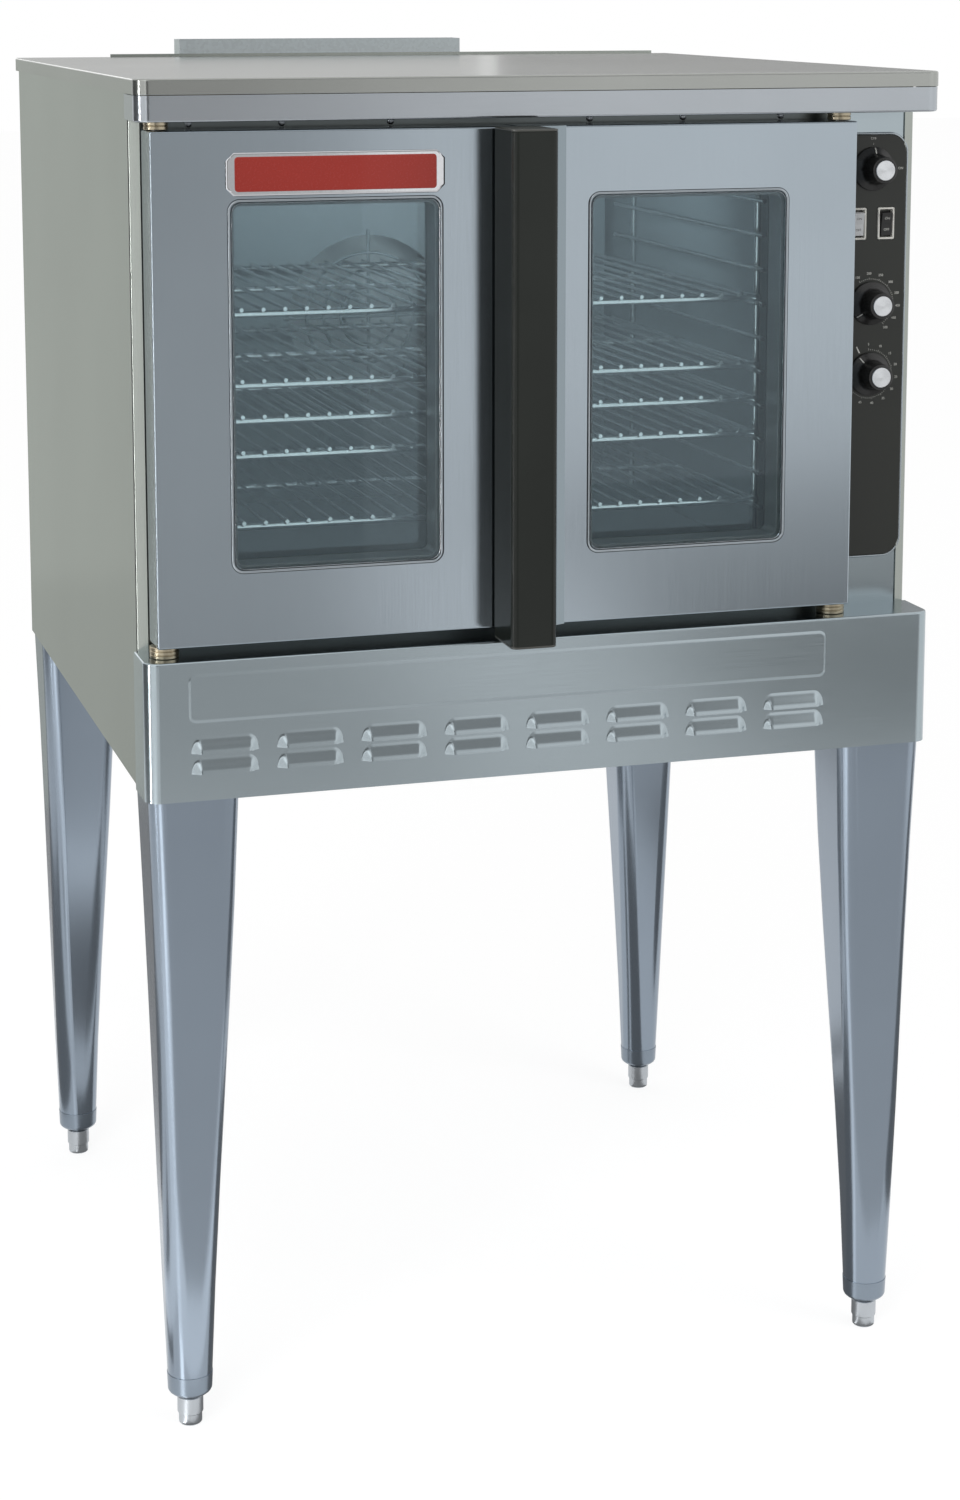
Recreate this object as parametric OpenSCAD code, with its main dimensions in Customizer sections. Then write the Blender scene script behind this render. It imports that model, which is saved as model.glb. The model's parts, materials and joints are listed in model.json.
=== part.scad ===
// Full-size convection oven on four tall tapered legs, with two glazed doors that open together.
// Millimetres, +Z up, front towards -Y, origin on the floor under the middle of the whole object.

/* [Body] */
// Width over the lid, the top trim and the lower front panel
trim_w = 972; // [960:1:990]
// Width over the two side panels
body_w = 964; // [952:1:964]
// Depth from the body face to the back panel
body_depth = 870; // [860:5:920]
// How far the top trim and the lower panel stand in front of the body face
trim_reach = 70; // [68:1:80]
// Height of the body, without legs
body_h = 820; // [815:1:840]
// Height of the legs with their feet
leg_h = 778; // [600:1:800]
// Thickness of the casing sheet
sheet = 1.6; // [1.2:0.1:2]
// Radius of the rounded front corners
corner_r = 18; // [14:1:22]

/* [Top] */
// Depth of the lid's turned-down edge
lid_flange = 18; // [14:1:22]
// Height of the trim below the lid
trim_h = 30; // [26:1:34]
// Width of the flue box on the back
flue_w = 416; // [300:1:440]
// Depth of the flue box behind the back panel
flue_depth = 40; // [36:1:60]
// Height of the flue box above the lid
flue_rise = 24; // [15:1:40]
// Height of the flue box below the lid
flue_drop = 130; // [110:1:180]

/* [Doors] */
// Middle of the door pair, left of the body's middle
door_mid_x = -44.5; // [-46:0.5:-42]
// Width of one door
door_w = 423.5; // [420:0.5:424]
// Height of a door
door_h = 585; // [575:1:590]
// Thickness of a door
door_t = 50; // [46:1:52]
// Gap between the two doors
door_seam = 2; // [2:0.5:4]
// Gap between the trim and the doors
door_gap_top = 10; // [8:0.5:12]
// Gap between the doors and the lower panel
door_gap_low = 14; // [12:0.5:16]
// Space between a door's back and the body face, filled by the gasket
door_standoff = 12; // [10:1:13]
// Hinge axis, in from the door's outer edge
pivot_inset = 12.5; // [11:0.5:14]
// Hinge axis, behind the door's front
pivot_behind = 27; // [25:0.5:28]
// Radius of the hinge pins
pin_r = 6; // [5:0.5:7]

/* [Windows] */
// Width over a window's bright frame
window_w = 250; // [220:1:260]
// Height over a window's bright frame
window_h = 425; // [400:1:430]
// Top of the window frame, below the door's top
window_drop = 77; // [74:1:90]
// Corner radius of the window frame
window_r = 14; // [13:1:18]
// Width of the window frame's flange
window_flange = 8; // [7:0.5:10]
// Thickness of a glass pane
glass_t = 5; // [4:0.5:6]

/* [Handle] */
// Width of the door handle
handle_w = 55; // [46:1:58]
// Reach of the handle from the door's front
handle_out = 74; // [50:1:80]
// Wall of the handle channel
handle_wall = 3; // [2:0.5:4]
// Handle's end below the door's bottom
handle_drop = 10; // [4:0.5:11]

/* [Oven cavity] */
// Clear width of the cavity
cavity_w = 737; // [720:1:740]
// Clear height of the cavity
cavity_h = 508; // [490:1:515]
// Depth from the face to the blower baffle
cavity_d = 616; // [600:1:620]
// Space behind the baffle for the blower wheel
blower_space = 100; // [90:1:105]
// Distance between rack positions
rack_pitch = 42; // [40:0.5:42]
// Width of a rack
rack_w = 704; // [690:1:708]
// Depth of a rack
rack_d = 530; // [500:1:532]
// Distance between rack wires
wire_pitch = 26; // [22:0.5:34]

/* [Controls] */
// Middle of the control panel, right of the body's middle
control_x = 428; // [427:0.5:429]
// Width of the dark control plate
plate_w = 88; // [84:1:89]
// Height of the dark control plate
plate_h = 518; // [500:1:530]
// Diameter of a knob's skirt
knob_d = 53; // [46:1:53]

/* [Louvres] */
// Louvres in a row
louvre_count = 8; // [4:1:8]
// Distance between louvres
louvre_pitch = 100; // [95:1:102]
// Length of a louvre
louvre_w = 82; // [60:1:85]
// Height of a louvre
louvre_h = 21; // [16:1:21]
// Bulge of a louvre
louvre_out = 7; // [5:0.5:8]

/* [Legs] */
// Width of a leg's square top
leg_top = 106; // [90:1:110]
// Diameter of a leg's round lower end
leg_low = 52; // [48:1:56]
// Length of a levelling foot below the leg
foot_len = 36; // [30:1:45]
// Diameter of a levelling foot
foot_d = 31; // [28:1:32]

/* [Hidden] */
$fn = 48;
// Heights, from the floor up
body_z = leg_h;
top_z = body_z + body_h;
trim_z = top_z - lid_flange - trim_h;
door_top_z = trim_z - door_gap_top;
door_low_z = door_top_z - door_h;
ledge_z = door_low_z - door_gap_low;
panel_h = ledge_z - body_z;
cavity_z = door_low_z + door_h / 2;
cavity_low_z = cavity_z - cavity_h / 2;
cavity_top_z = cavity_z + cavity_h / 2;
window_z = door_top_z - window_drop - window_h / 2;
// Depths, from the front back; the handle and the flue box set the whole depth
whole_depth = handle_out + door_t + door_standoff + body_depth + flue_depth;
door_y = -whole_depth / 2 + handle_out;
face_y = door_y + door_t + door_standoff;
trim_y = face_y - trim_reach;
back_y = face_y + body_depth;
door_back_y = door_y + door_t;
pivot_y = door_y + pivot_behind;
baffle_y = face_y + cavity_d;
liner_back_y = baffle_y + blower_space;
// Widths
trim_x = trim_w / 2;
body_x = body_w / 2;
side_flange = 13;
back_flange = 20;
control_split_x = control_x - plate_w / 2;
door_reach = door_w + door_seam / 2;
left_pivot_x = door_mid_x - door_reach + pivot_inset;
right_pivot_x = door_mid_x + door_reach - pivot_inset;
cavity_left = door_mid_x - cavity_w / 2;
cavity_right = door_mid_x + cavity_w / 2;
// Fits
run_fit = 0.05;
seat_gap = 0.3;
sheet_gap = 0.4;
// Door skin, window opening and glass
skin = 2;
open_w = window_w - 10;
open_h = window_h - 10;
open_r = window_r - 4;
pane_w = window_w - 4;
pane_h = window_h - 4;
sight_w = window_w - 2 * window_flange;
sight_h = window_h - 2 * window_flange;
sight_r = window_r - 6;
tunnel_wall = 4;
// Astragal strip that the handle stands on
strip_t = 5;
strip_lap = 1;
strip_right = door_mid_x + 60;
strip_bevel = 11;
strip_left = door_mid_x - handle_w / 2 + 4;
// Racks, counted in positions down from the highest one that is filled
rack_top_z = cavity_z + 73;
rack_slots = [0, 2, 3, 4, 6];
guide_slots = 11;
guide_above = 4;
rack_y = face_y + 60;
rod_r = 4;
side_rod_r = 3.5;
wire_r = 2.4;
rail_r = 3;
// Door drive under the ledge: two sprockets and two crossed turnbuckle rods
sprocket_r = 20;
sprocket_teeth = 14;
sprocket_t = 5;
drive_low_z = ledge_z - 60;
drive_step = 12;
drive_rod_r = 4;
drive_rod_half = 250;
turnbuckle_r = 6.5;
turnbuckle_len = 70;
drive_angle = asin(2 * sprocket_r / (right_pivot_x - left_pivot_x));
// Knobs and switches, by their height below the door's top
knob_z = [door_top_z - 61, door_top_z - 225, door_top_z - 312];
switch_z = door_top_z - 128;
switch_x = [control_x - 19, control_x + 18];
switch_w = 22;
switch_h = 39;
plate_t = 2.5;
plate_r = 22;
plate_top_z = door_top_z - 20;
shaft_r = 3;
rocker_tilt = 9;
// Legs and feet
leg_inset = 5;
leg_r = 20;
leg_wall = 2;
foot_out = 10;
collar_h = 10;
stem_r = 8;
stem_len = 60;
leg_low_z = foot_len + collar_h;
// Base pan and gas supply
pan_t = 2;
pipe_r = 13.35;
burner_z = body_z + 95;
pipe_x = door_mid_x + 330;
// Flue duct through the back panel
duct_h = 50;
duct_inset = 20;
// Blower motor
motor_y = liner_back_y + 58;
motor_shaft_r = 8;
// Handle's end caps and rounded front corners
handle_cap = 3;
handle_r = 8;

// Shapes that repeat

// Box between two corners
module block(low, high) translate(low) cube(high - low);

// Rectangle with round corners, centred
module rounded_outline(w, h, r) {
    square([w - 2 * r, h], center = true);
    square([w, h - 2 * r], center = true);
    for (x = [-1, 1], y = [-1, 1])
        translate([x * (w / 2 - r), y * (h / 2 - r)]) circle(r);
}

// Upright plate with round corners, centred on x and z, from y to y + t
module upright_plate(x, y, z, w, h, r, t)
    translate([x, y + t, z]) rotate([90, 0, 0]) linear_extrude(t) rounded_outline(w, h, r);

// Upright frame: a round-cornered plate with a round-cornered hole
module upright_frame(x, y, z, w, h, r, hole_w, hole_h, hole_r, t) {
    difference() {
        upright_plate(x, y, z, w, h, r, t);
        upright_plate(x, y - 1, z, hole_w, hole_h, hole_r, t + 2);
    }
}

// Round bar between two points
module bar(from, to, r) {
    run = to - from;
    length = norm(run);
    translate(from) rotate([0, acos(run[2] / length), atan2(run[1], run[0])]) cylinder(r = r, h = length);
}

// Cylinder along +Y
module cylinder_y(x, y, z, r, length)
    translate([x, y, z]) rotate([-90, 0, 0]) cylinder(r = r, h = length);

// Plan outline with two round front corners
module front_outline(w, y0, y1, r) {
    translate([-w / 2, y0 + r]) square([w, y1 - y0 - r]);
    translate([-w / 2 + r, y0]) square([w - 2 * r, r]);
    for (side = [-1, 1])
        translate([side * (w / 2 - r), y0 + r]) circle(r);
}

// Sheet bent round the front: one front, two round corners and two side returns
module front_band(w, y0, y1, r, t, z, h) {
    translate([0, 0, z]) linear_extrude(h) difference() {
        front_outline(w, y0, y1, r);
        front_outline(w - 2 * t, y0 + t, y1 + 1, r - t);
    }
}

// Level sheet with two round front corners
module front_sheet(w, y0, y1, r, t, z)
    translate([0, 0, z]) linear_extrude(t) front_outline(w, y0, y1, r);

// Section of a louvre: it leaves the sheet at the top and stands open at the bottom
module louvre_section() {
    arc_r = (louvre_out * louvre_out + louvre_h * louvre_h) / (2 * louvre_out);
    intersection() {
        translate([louvre_out - arc_r, -louvre_h]) difference() {
            circle(arc_r, $fn = 96);
            circle(arc_r - sheet, $fn = 96);
        }
        translate([-sheet / 2, -louvre_h]) square([louvre_out + 2, louvre_h]);
    }
}

// One louvre hood on a front that faces -Y, its top middle at the origin
module louvre_hood() {
    straight = louvre_w - 2 * louvre_out;
    translate([straight / 2, 0, 0]) rotate([90, 0, -90]) linear_extrude(straight) louvre_section();
    for (side = [0, 1])
        mirror([side, 0, 0]) translate([straight / 2, 0, 0]) rotate(-90) rotate_extrude(angle = 90)
            intersection() {
                louvre_section();
                translate([0, -louvre_h]) square([louvre_out + 2, louvre_h]);
            }
}

// The slot that a louvre leaves in its sheet
module louvre_slot() {
    straight = louvre_w - 2 * louvre_out;
    block([-straight / 2, -1, -louvre_h], [straight / 2, sheet + 1, -louvre_h / 3]);
}

// Rows of louvres on a sheet whose outside is at y = 0: cuts or hoods
module louvre_rows(columns, rows, row_pitch, hoods) {
    for (column = [0:columns - 1], row = [0:rows - 1])
        translate([(column - (columns - 1) / 2) * louvre_pitch, 0, -row * row_pitch])
            if (hoods) louvre_hood();
            else louvre_slot();
}

// Legs and feet

// Top middle of a leg; side and end are -1 or 1
function leg_x(side) = side * (trim_x - leg_inset - leg_top / 2);
function leg_y(end) = end < 0 ? trim_y + leg_inset + leg_top / 2 : back_y - leg_inset - leg_top / 2;
function foot_x(side) = leg_x(side) + side * foot_out;
function foot_y(end) = leg_y(end) + end * foot_out;

// Tapered body from a rounded square to a round end
module leg_taper(side, end, inset, low_z, top_z) {
    hull() {
        translate([leg_x(side), leg_y(end), top_z - 1])
            linear_extrude(1) rounded_outline(leg_top - 2 * inset, leg_top - 2 * inset, leg_r - inset, $fn = 32);
        translate([foot_x(side), foot_y(end), low_z]) cylinder(d = leg_low - 2 * inset, h = 8, $fn = 32);
    }
}

module leg(side, end) {
    color("lightsteelblue") {
        difference() {
            leg_taper(side, end, 0, leg_low_z, body_z);
            leg_taper(side, end, leg_wall, leg_low_z + 30, body_z + 1);
            translate([foot_x(side), foot_y(end), leg_low_z - 1]) cylinder(r = stem_r + run_fit, h = 60);
        }
        translate([foot_x(side), foot_y(end), foot_len]) difference() {
            cylinder(d1 = foot_d + 2, d2 = leg_low - 2, h = collar_h);
            translate([0, 0, -1]) cylinder(r = stem_r + run_fit, h = collar_h + 2);
        }
    }
}

// Levelling foot: stem, barrel with a step, rounded sole
module foot(side, end) {
    color("gainsboro") translate([foot_x(side), foot_y(end), 0]) {
        rotate_extrude() {
            sole_r = 3;
            low_r = foot_d / 2 - 1.5;
            translate([0, sole_r]) square([low_r, foot_len * 0.4 - sole_r]);
            square([low_r - sole_r, sole_r]);
            translate([low_r - sole_r, sole_r]) intersection() {
                circle(sole_r);
                translate([0, -sole_r]) square(sole_r);
            }
            translate([0, foot_len * 0.4]) square([foot_d / 2, foot_len * 0.6 - seat_gap]);
        }
        translate([0, 0, foot_len / 2]) cylinder(r = stem_r, h = foot_len / 2 + stem_len - 20);
    }
}

module leg_front_left() leg(-1, -1);
module leg_front_right() leg(1, -1);
module leg_rear_left() leg(-1, 1);
module leg_rear_right() leg(1, 1);
module foot_front_left() foot(-1, -1);
module foot_front_right() foot(1, -1);
module foot_rear_left() foot(-1, 1);
module foot_rear_right() foot(1, 1);

// Casing

// Floor of the body, with a turned-up rim at the sides and the back
module base_pan() {
    rim = 20;
    x = body_x - sheet - sheet_gap;
    y0 = trim_y + sheet + sheet_gap;
    rim_y = face_y + sheet + 1;
    y1 = back_y - sheet - sheet_gap;
    color("darkgray") {
        front_sheet(2 * x, y0, y1, corner_r, pan_t, body_z);
        translate([0, 0, body_z]) linear_extrude(rim) difference() {
            translate([-x, rim_y]) square([2 * x, y1 - rim_y]);
            translate([-x + sheet, rim_y - 1]) square([2 * (x - sheet), y1 - rim_y - sheet + 1]);
        }
    }
}

// Side sheet with a return on the body face and one on the back
module side_panel(side) {
    panel_top_z = top_z - sheet - sheet_gap;
    color("silver") {
        mirror([side > 0 ? 1 : 0, 0, 0]) {
            block([-body_x, face_y, body_z], [-body_x + sheet, back_y, panel_top_z]);
            block([-body_x, face_y, body_z + pan_t + sheet_gap], [-body_x + side_flange, face_y + sheet, panel_top_z]);
            block([-body_x, back_y - sheet, body_z], [-body_x + back_flange, back_y, panel_top_z]);
        }
    }
}

module left_side_panel() side_panel(-1);
module right_side_panel() side_panel(1);

// Back sheet; its top edge stands a little above the lid right of the left end
module back_panel() {
    edge = body_x - back_flange;
    lip_inset = 110;
    lip_rise = 4;
    duct_half = flue_w / 2 - duct_inset;
    duct_z = top_z - flue_drop + duct_inset;
    motor_open = 170;
    motor_open_up = 150;
    y0 = back_y - sheet;
    color("lightgray") difference() {
        union() {
            block([-edge, y0, body_z + pan_t], [edge, back_y, top_z]);
            block([-edge + lip_inset, y0, top_z - 1], [edge, back_y, top_z + lip_rise]);
        }
        block([door_mid_x - duct_half, y0 - 1, duct_z], [door_mid_x + duct_half, back_y + 1, duct_z + duct_h]);
        block([door_mid_x - motor_open, y0 - 1, cavity_z - motor_open],
              [door_mid_x + motor_open, back_y + 1, cavity_z + motor_open_up]);
        cylinder_y(pipe_x, y0 - 1, burner_z, pipe_r + 2, sheet + 2);
    }
}

// Louvred cover over the blower motor
module rear_cover() {
    columns = 2;
    rows = 4;
    row_pitch = 52;
    first_row = 90;
    half_w = 200;
    below = 200;
    above = 180;
    color("lightgray") translate([door_mid_x, back_y + sheet, cavity_z]) mirror([0, 1, 0]) {
        translate([0, 0, first_row]) louvre_rows(columns, rows, row_pitch, true);
        difference() {
            block([-half_w, 0, -below], [half_w, sheet, above]);
            translate([0, 0, first_row]) louvre_rows(columns, rows, row_pitch, false);
        }
    }
}

// Lid: a sheet with a turned-down edge at the front and sides
module top_cover() {
    y1 = back_y - sheet - sheet_gap;
    color("silver") {
        front_sheet(trim_w, trim_y, y1, corner_r, sheet, top_z - sheet);
        front_band(trim_w, trim_y, y1, corner_r, sheet, top_z - lid_flange, lid_flange - sheet / 2);
    }
}

// Open-topped box that lets the flue gas out behind the lid
module flue_box() {
    x0 = door_mid_x - flue_w / 2;
    x1 = door_mid_x + flue_w / 2;
    y1 = back_y + flue_depth;
    z0 = top_z - flue_drop;
    z1 = top_z + flue_rise;
    duct_z = z0 + duct_inset;
    color("darkseagreen") difference() {
        block([x0, back_y, z0], [x1, y1, z1]);
        block([x0 + sheet, back_y + sheet, z0 + sheet], [x1 - sheet, y1 - sheet, z1 + 1]);
        block([x0 + duct_inset, back_y - 1, duct_z], [x1 - duct_inset, back_y + sheet + 1, duct_z + duct_h]);
    }
}

// Holes in the trim or the ledge for the hinge bushes
module bush_holes(z, h) {
    for (x = [left_pivot_x, right_pivot_x])
        translate([x, pivot_y, z]) cylinder(r = pin_r + 3 + run_fit, h = h);
}

// Band under the lid, closed below where the doors' top hinges turn
module top_trim() {
    color("silver") {
        front_band(trim_w, trim_y, face_y, corner_r, sheet, trim_z, trim_h);
        difference() {
            front_sheet(trim_w - sheet, trim_y + sheet / 2, face_y, corner_r - sheet / 2, 3, trim_z);
            bush_holes(trim_z - 1, 6);
        }
    }
}

// Lower front: ledge, raised long panel and two rows of louvres
module lower_front_panel() {
    emboss_w = 786;
    emboss_h = 60;
    emboss_drop = 13;
    rows_drop = 86;
    row_pitch = 24;
    color("lightslategray") {
        difference() {
            front_band(trim_w, trim_y, face_y, corner_r, sheet, body_z, panel_h);
            translate([door_mid_x, trim_y, ledge_z - rows_drop]) louvre_rows(louvre_count, 2, row_pitch, false);
        }
        translate([door_mid_x, trim_y, ledge_z - rows_drop]) louvre_rows(louvre_count, 2, row_pitch, true);
        upright_plate(door_mid_x, trim_y - 0.8, ledge_z - emboss_drop - emboss_h / 2, emboss_w, emboss_h, 9, 1.2);
        difference() {
            front_sheet(trim_w - sheet, trim_y + sheet / 2, face_y, corner_r - sheet / 2, 3, ledge_z - 3);
            bush_holes(ledge_z - 5, 8);
        }
    }
}

// Face of the body round the oven's mouth
module face_frame() {
    color("gray") difference() {
        block([-body_x + side_flange, face_y, ledge_z - 40], [control_split_x, face_y + sheet, trim_z + 20]);
        block([cavity_left, face_y - 1, cavity_low_z], [cavity_right, face_y + sheet + 1, cavity_top_z]);
    }
}

// Cut-outs for knob shafts and switches
module control_holes(y, t) {
    for (z = knob_z)
        cylinder_y(control_x, y, z, shaft_r + 2, t);
    half_w = switch_w / 2 - 1;
    half_h = switch_h / 2 - 1;
    for (x = switch_x)
        block([x - half_w, y, switch_z - half_h], [x + half_w, y + t, switch_z + half_h]);
}

module control_panel() {
    color("silver") difference() {
        block([control_split_x, face_y, ledge_z - 40], [body_x - side_flange, face_y + sheet, trim_z + 20]);
        control_holes(face_y - 1, sheet + 2);
    }
}

// Dark plate with round corners that carries the markings
module control_plate() {
    color([0.16, 0.15, 0.13]) difference() {
        upright_plate(control_x, face_y - plate_t, plate_top_z - plate_h / 2, plate_w, plate_h, plate_r, plate_t);
        control_holes(face_y - plate_t - 1, plate_t + 2);
    }
}

// Timer and thermostat bodies behind the panel, and the two switch housings in it
module control_bodies() {
    case_half = 22;
    case_depth = 42;
    bore_depth = 30;
    bezel_t = 2;
    bezel_y = face_y - plate_t - bezel_t;
    rim = 3;
    lip = 1.2;
    housing_depth = 30;
    pocket_depth = 24;
    half_w = switch_w / 2;
    half_h = switch_h / 2;
    color("dimgray") {
        for (z = knob_z) difference() {
            block([control_x - case_half, face_y + sheet, z - case_half],
                  [control_x + case_half, face_y + case_depth, z + case_half]);
            cylinder_y(control_x, face_y, z, shaft_r + run_fit, bore_depth);
        }
        for (x = switch_x) translate([x, 0, switch_z]) difference() {
            union() {
                block([-half_w, bezel_y, -half_h], [half_w, bezel_y + bezel_t, half_h]);
                block([-half_w + lip, bezel_y, -half_h + lip], [half_w - lip, face_y + housing_depth, half_h - lip]);
            }
            block([-half_w + rim, bezel_y - 1, -half_h + rim], [half_w - rim, face_y + pocket_depth, half_h - rim]);
        }
    }
}

// Bronze washers with short sleeves, two in the trim and two in the ledge
module hinge_bushes() {
    top_washer_r = 14;
    low_washer_r = 17;
    sleeve = 7;
    color("peru") for (x = [left_pivot_x, right_pivot_x]) {
        translate([x, pivot_y, 0]) difference() {
            union() {
                translate([0, 0, door_top_z + seat_gap]) cylinder(r = top_washer_r, h = door_gap_top - seat_gap);
                translate([0, 0, trim_z]) cylinder(r = pin_r + 3, h = sleeve);
            }
            translate([0, 0, door_top_z - 1]) cylinder(r = pin_r + run_fit, h = 40);
        }
        translate([x, pivot_y, 0]) difference() {
            union() {
                translate([0, 0, ledge_z]) cylinder(r = low_washer_r, h = door_gap_low - seat_gap);
                translate([0, 0, ledge_z - sleeve]) cylinder(r = pin_r + 3, h = sleeve);
            }
            translate([0, 0, ledge_z - 20]) cylinder(r = pin_r + run_fit, h = 40);
        }
    }
}

// Oven cavity

liner_front_y = face_y + sheet;

module liner_left()
    color("slategray")
        block([cavity_left - sheet, liner_front_y, cavity_low_z], [cavity_left, liner_back_y, cavity_top_z]);

module liner_right()
    color("slategray")
        block([cavity_right, liner_front_y, cavity_low_z], [cavity_right + sheet, liner_back_y, cavity_top_z]);

module liner_top()
    color("slategray")
        block([cavity_left - sheet, liner_front_y, cavity_top_z], [cavity_right + sheet, liner_back_y, cavity_top_z + sheet]);

module liner_bottom()
    color("slategray")
        block([cavity_left - sheet, liner_front_y, cavity_low_z - sheet], [cavity_right + sheet, liner_back_y, cavity_low_z]);

module liner_back() {
    shaft_hole_r = 20;
    color("slategray") difference() {
        block([cavity_left - sheet, liner_back_y, cavity_low_z - sheet],
              [cavity_right + sheet, liner_back_y + sheet, cavity_top_z + sheet]);
        cylinder_y(door_mid_x, liner_back_y - 1, cavity_z, shaft_hole_r, sheet + 2);
    }
}

// Sheet in front of the blower: a round inlet with a ring guard, and open gaps at both sides
module blower_baffle() {
    side_gap = 24;
    inlet_r = 112;
    stand_off = 20;
    color("lightslategray") {
        difference() {
            block([cavity_left + side_gap, baffle_y, cavity_low_z], [cavity_right - side_gap, baffle_y + sheet, cavity_top_z]);
            cylinder_y(door_mid_x, baffle_y - 1, cavity_z, inlet_r, sheet + 2);
        }
        for (r = [40, 64, 88])
            translate([door_mid_x, baffle_y - 2, cavity_z]) rotate([90, 0, 0])
                rotate_extrude() translate([r, 0]) circle(2, $fn = 16);
        for (a = [0, 90])
            translate([door_mid_x, baffle_y - 1, cavity_z]) rotate([0, a, 0])
                bar([-inlet_r - 8, 0, 0], [inlet_r + 8, 0, 0], 2.2);
        for (x = [-1, 1])
            block([x * (cavity_w / 2 - side_gap - 1) + door_mid_x - 1, baffle_y, cavity_low_z],
                  [x * (cavity_w / 2 - side_gap - 1) + door_mid_x + 1, baffle_y + stand_off, cavity_top_z]);
    }
}

// Centrifugal wheel: back disc, rim ring, slanted blades, hub and motor shaft
module blower_wheel() {
    wheel_r = 150;
    wheel_w = 58;
    disc_t = 2;
    blades = 24;
    rim_w = 30;
    blade_len = 27;
    blade_lean = 32;
    hub_r = 22;
    hub_len = 30;
    inlet_gap = 24;
    wheel_back_y = baffle_y + inlet_gap + wheel_w;
    shaft_len = motor_y + 30 - wheel_back_y;
    color("silver") translate([door_mid_x, wheel_back_y, cavity_z]) rotate([90, 0, 0]) {
        cylinder(r = wheel_r, h = disc_t);
        translate([0, 0, wheel_w - disc_t]) difference() {
            cylinder(r = wheel_r, h = disc_t);
            translate([0, 0, -1]) cylinder(r = wheel_r - rim_w, h = disc_t + 2);
        }
        for (blade = [0:blades - 1])
            rotate(blade * 360 / blades) translate([wheel_r - blade_len, 0, disc_t / 2])
                rotate(blade_lean) cube([blade_len, sheet, wheel_w - disc_t]);
        cylinder(r = hub_r, h = hub_len);
        translate([0, 0, -shaft_len]) cylinder(r = motor_shaft_r, h = shaft_len + 1);
    }
}

// Motor behind the back insulation: boss, two straps and four posts to the back panel
module blower_motor() {
    motor_r = 66;
    motor_len = 88;
    boss_r = 30;
    boss_t = 4;
    bore_depth = 40;
    strap_half = 188;
    strap_h = 20;
    strap_t = 4;
    strap_y = motor_y + 2;
    strap_z = [cavity_z - 40, cavity_z + 40];
    post_r = 7;
    post_x = strap_half - post_r - 2;
    color("dimgray") difference() {
        union() {
            cylinder_y(door_mid_x, motor_y, cavity_z, motor_r, motor_len);
            cylinder_y(door_mid_x, motor_y - boss_t, cavity_z, boss_r, 2 * boss_t);
            for (z = strap_z) {
                block([door_mid_x - strap_half, strap_y, z - strap_h / 2],
                      [door_mid_x + strap_half, strap_y + strap_t, z + strap_h / 2]);
                for (side = [-1, 1])
                    cylinder_y(door_mid_x + side * post_x, strap_y + 1, z, post_r, back_y - sheet - strap_y - 1);
            }
        }
        cylinder_y(door_mid_x, motor_y - boss_t - 1, cavity_z, motor_shaft_r + run_fit, bore_depth);
    }
}

// Height of a rack position
function slot_z(slot) = rack_top_z - slot * rack_pitch;

// Two ladders of round rail on pegs in the side walls; a rail runs under each end of a rack
module rack_guides() {
    post_y = [rack_y + 40, rack_y + rack_d - 40];
    post_in = 5;
    post_r = 4;
    peg_r = 2.5;
    end_gap = 12;
    peg_z = [cavity_low_z + 30, cavity_top_z - 30];
    rail_in = (cavity_w - rack_w) / 2 + rod_r;
    rail_z = [for (slot = [0:guide_slots - 1]) slot_z(slot - guide_above) - rod_r - rail_r - seat_gap];
    color("lightgray") for (side = [-1, 1]) {
        wall_x = side < 0 ? cavity_left : cavity_right;
        post_x = wall_x - side * post_in;
        rail_x = wall_x - side * rail_in;
        for (y = post_y) {
            bar([post_x, y, cavity_low_z + end_gap], [post_x, y, cavity_top_z - end_gap], post_r);
            for (z = peg_z)
                bar([wall_x, y, z], [post_x, y, z], peg_r);
        }
        for (z = rail_z) {
            bar([rail_x, rack_y - 20, z], [rail_x, rack_y + rack_d - 10, z], rail_r);
            for (y = post_y)
                bar([post_x, y, z], [rail_x, y, z], peg_r);
        }
    }
}

// Burner tubes on a gas manifold and two brackets, with the supply pipe out through a nut in the back
module burner_tubes() {
    burner_r = 20;
    burner_len = 480;
    burner_x = [-200, 0, 200];
    manifold_y = face_y + 90;
    manifold_in = 12;
    manifold_r = 12;
    bracket_half = 230;
    bracket_y = [manifold_y + 60, manifold_y + burner_len - 60];
    stub_len = 30;
    nut_r = 22;
    nut_t = 8;
    color("darkgray") {
        for (x = burner_x)
            cylinder_y(door_mid_x + x, manifold_y, burner_z, burner_r, burner_len);
        for (y = bracket_y)
            block([door_mid_x - bracket_half, y, body_z + pan_t],
                  [door_mid_x + bracket_half, y + sheet, burner_z]);
        bar([door_mid_x - bracket_half, manifold_y + manifold_in, burner_z],
            [pipe_x, manifold_y + manifold_in, burner_z], manifold_r);
        cylinder_y(pipe_x, manifold_y, burner_z, pipe_r, back_y + stub_len - manifold_y);
        translate([pipe_x, back_y + nut_t, burner_z]) rotate([90, 0, 0]) cylinder(r = nut_r, h = nut_t, $fn = 6);
    }
}

// Soft seal round the mouth
module door_gasket()
    color("dimgray")
        upright_frame(door_mid_x, face_y - door_standoff + 0.5, cavity_z, cavity_w + 40, cavity_h + 40, 12,
                      cavity_w + 8, cavity_h + 8, 6, door_standoff - 0.5);

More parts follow.
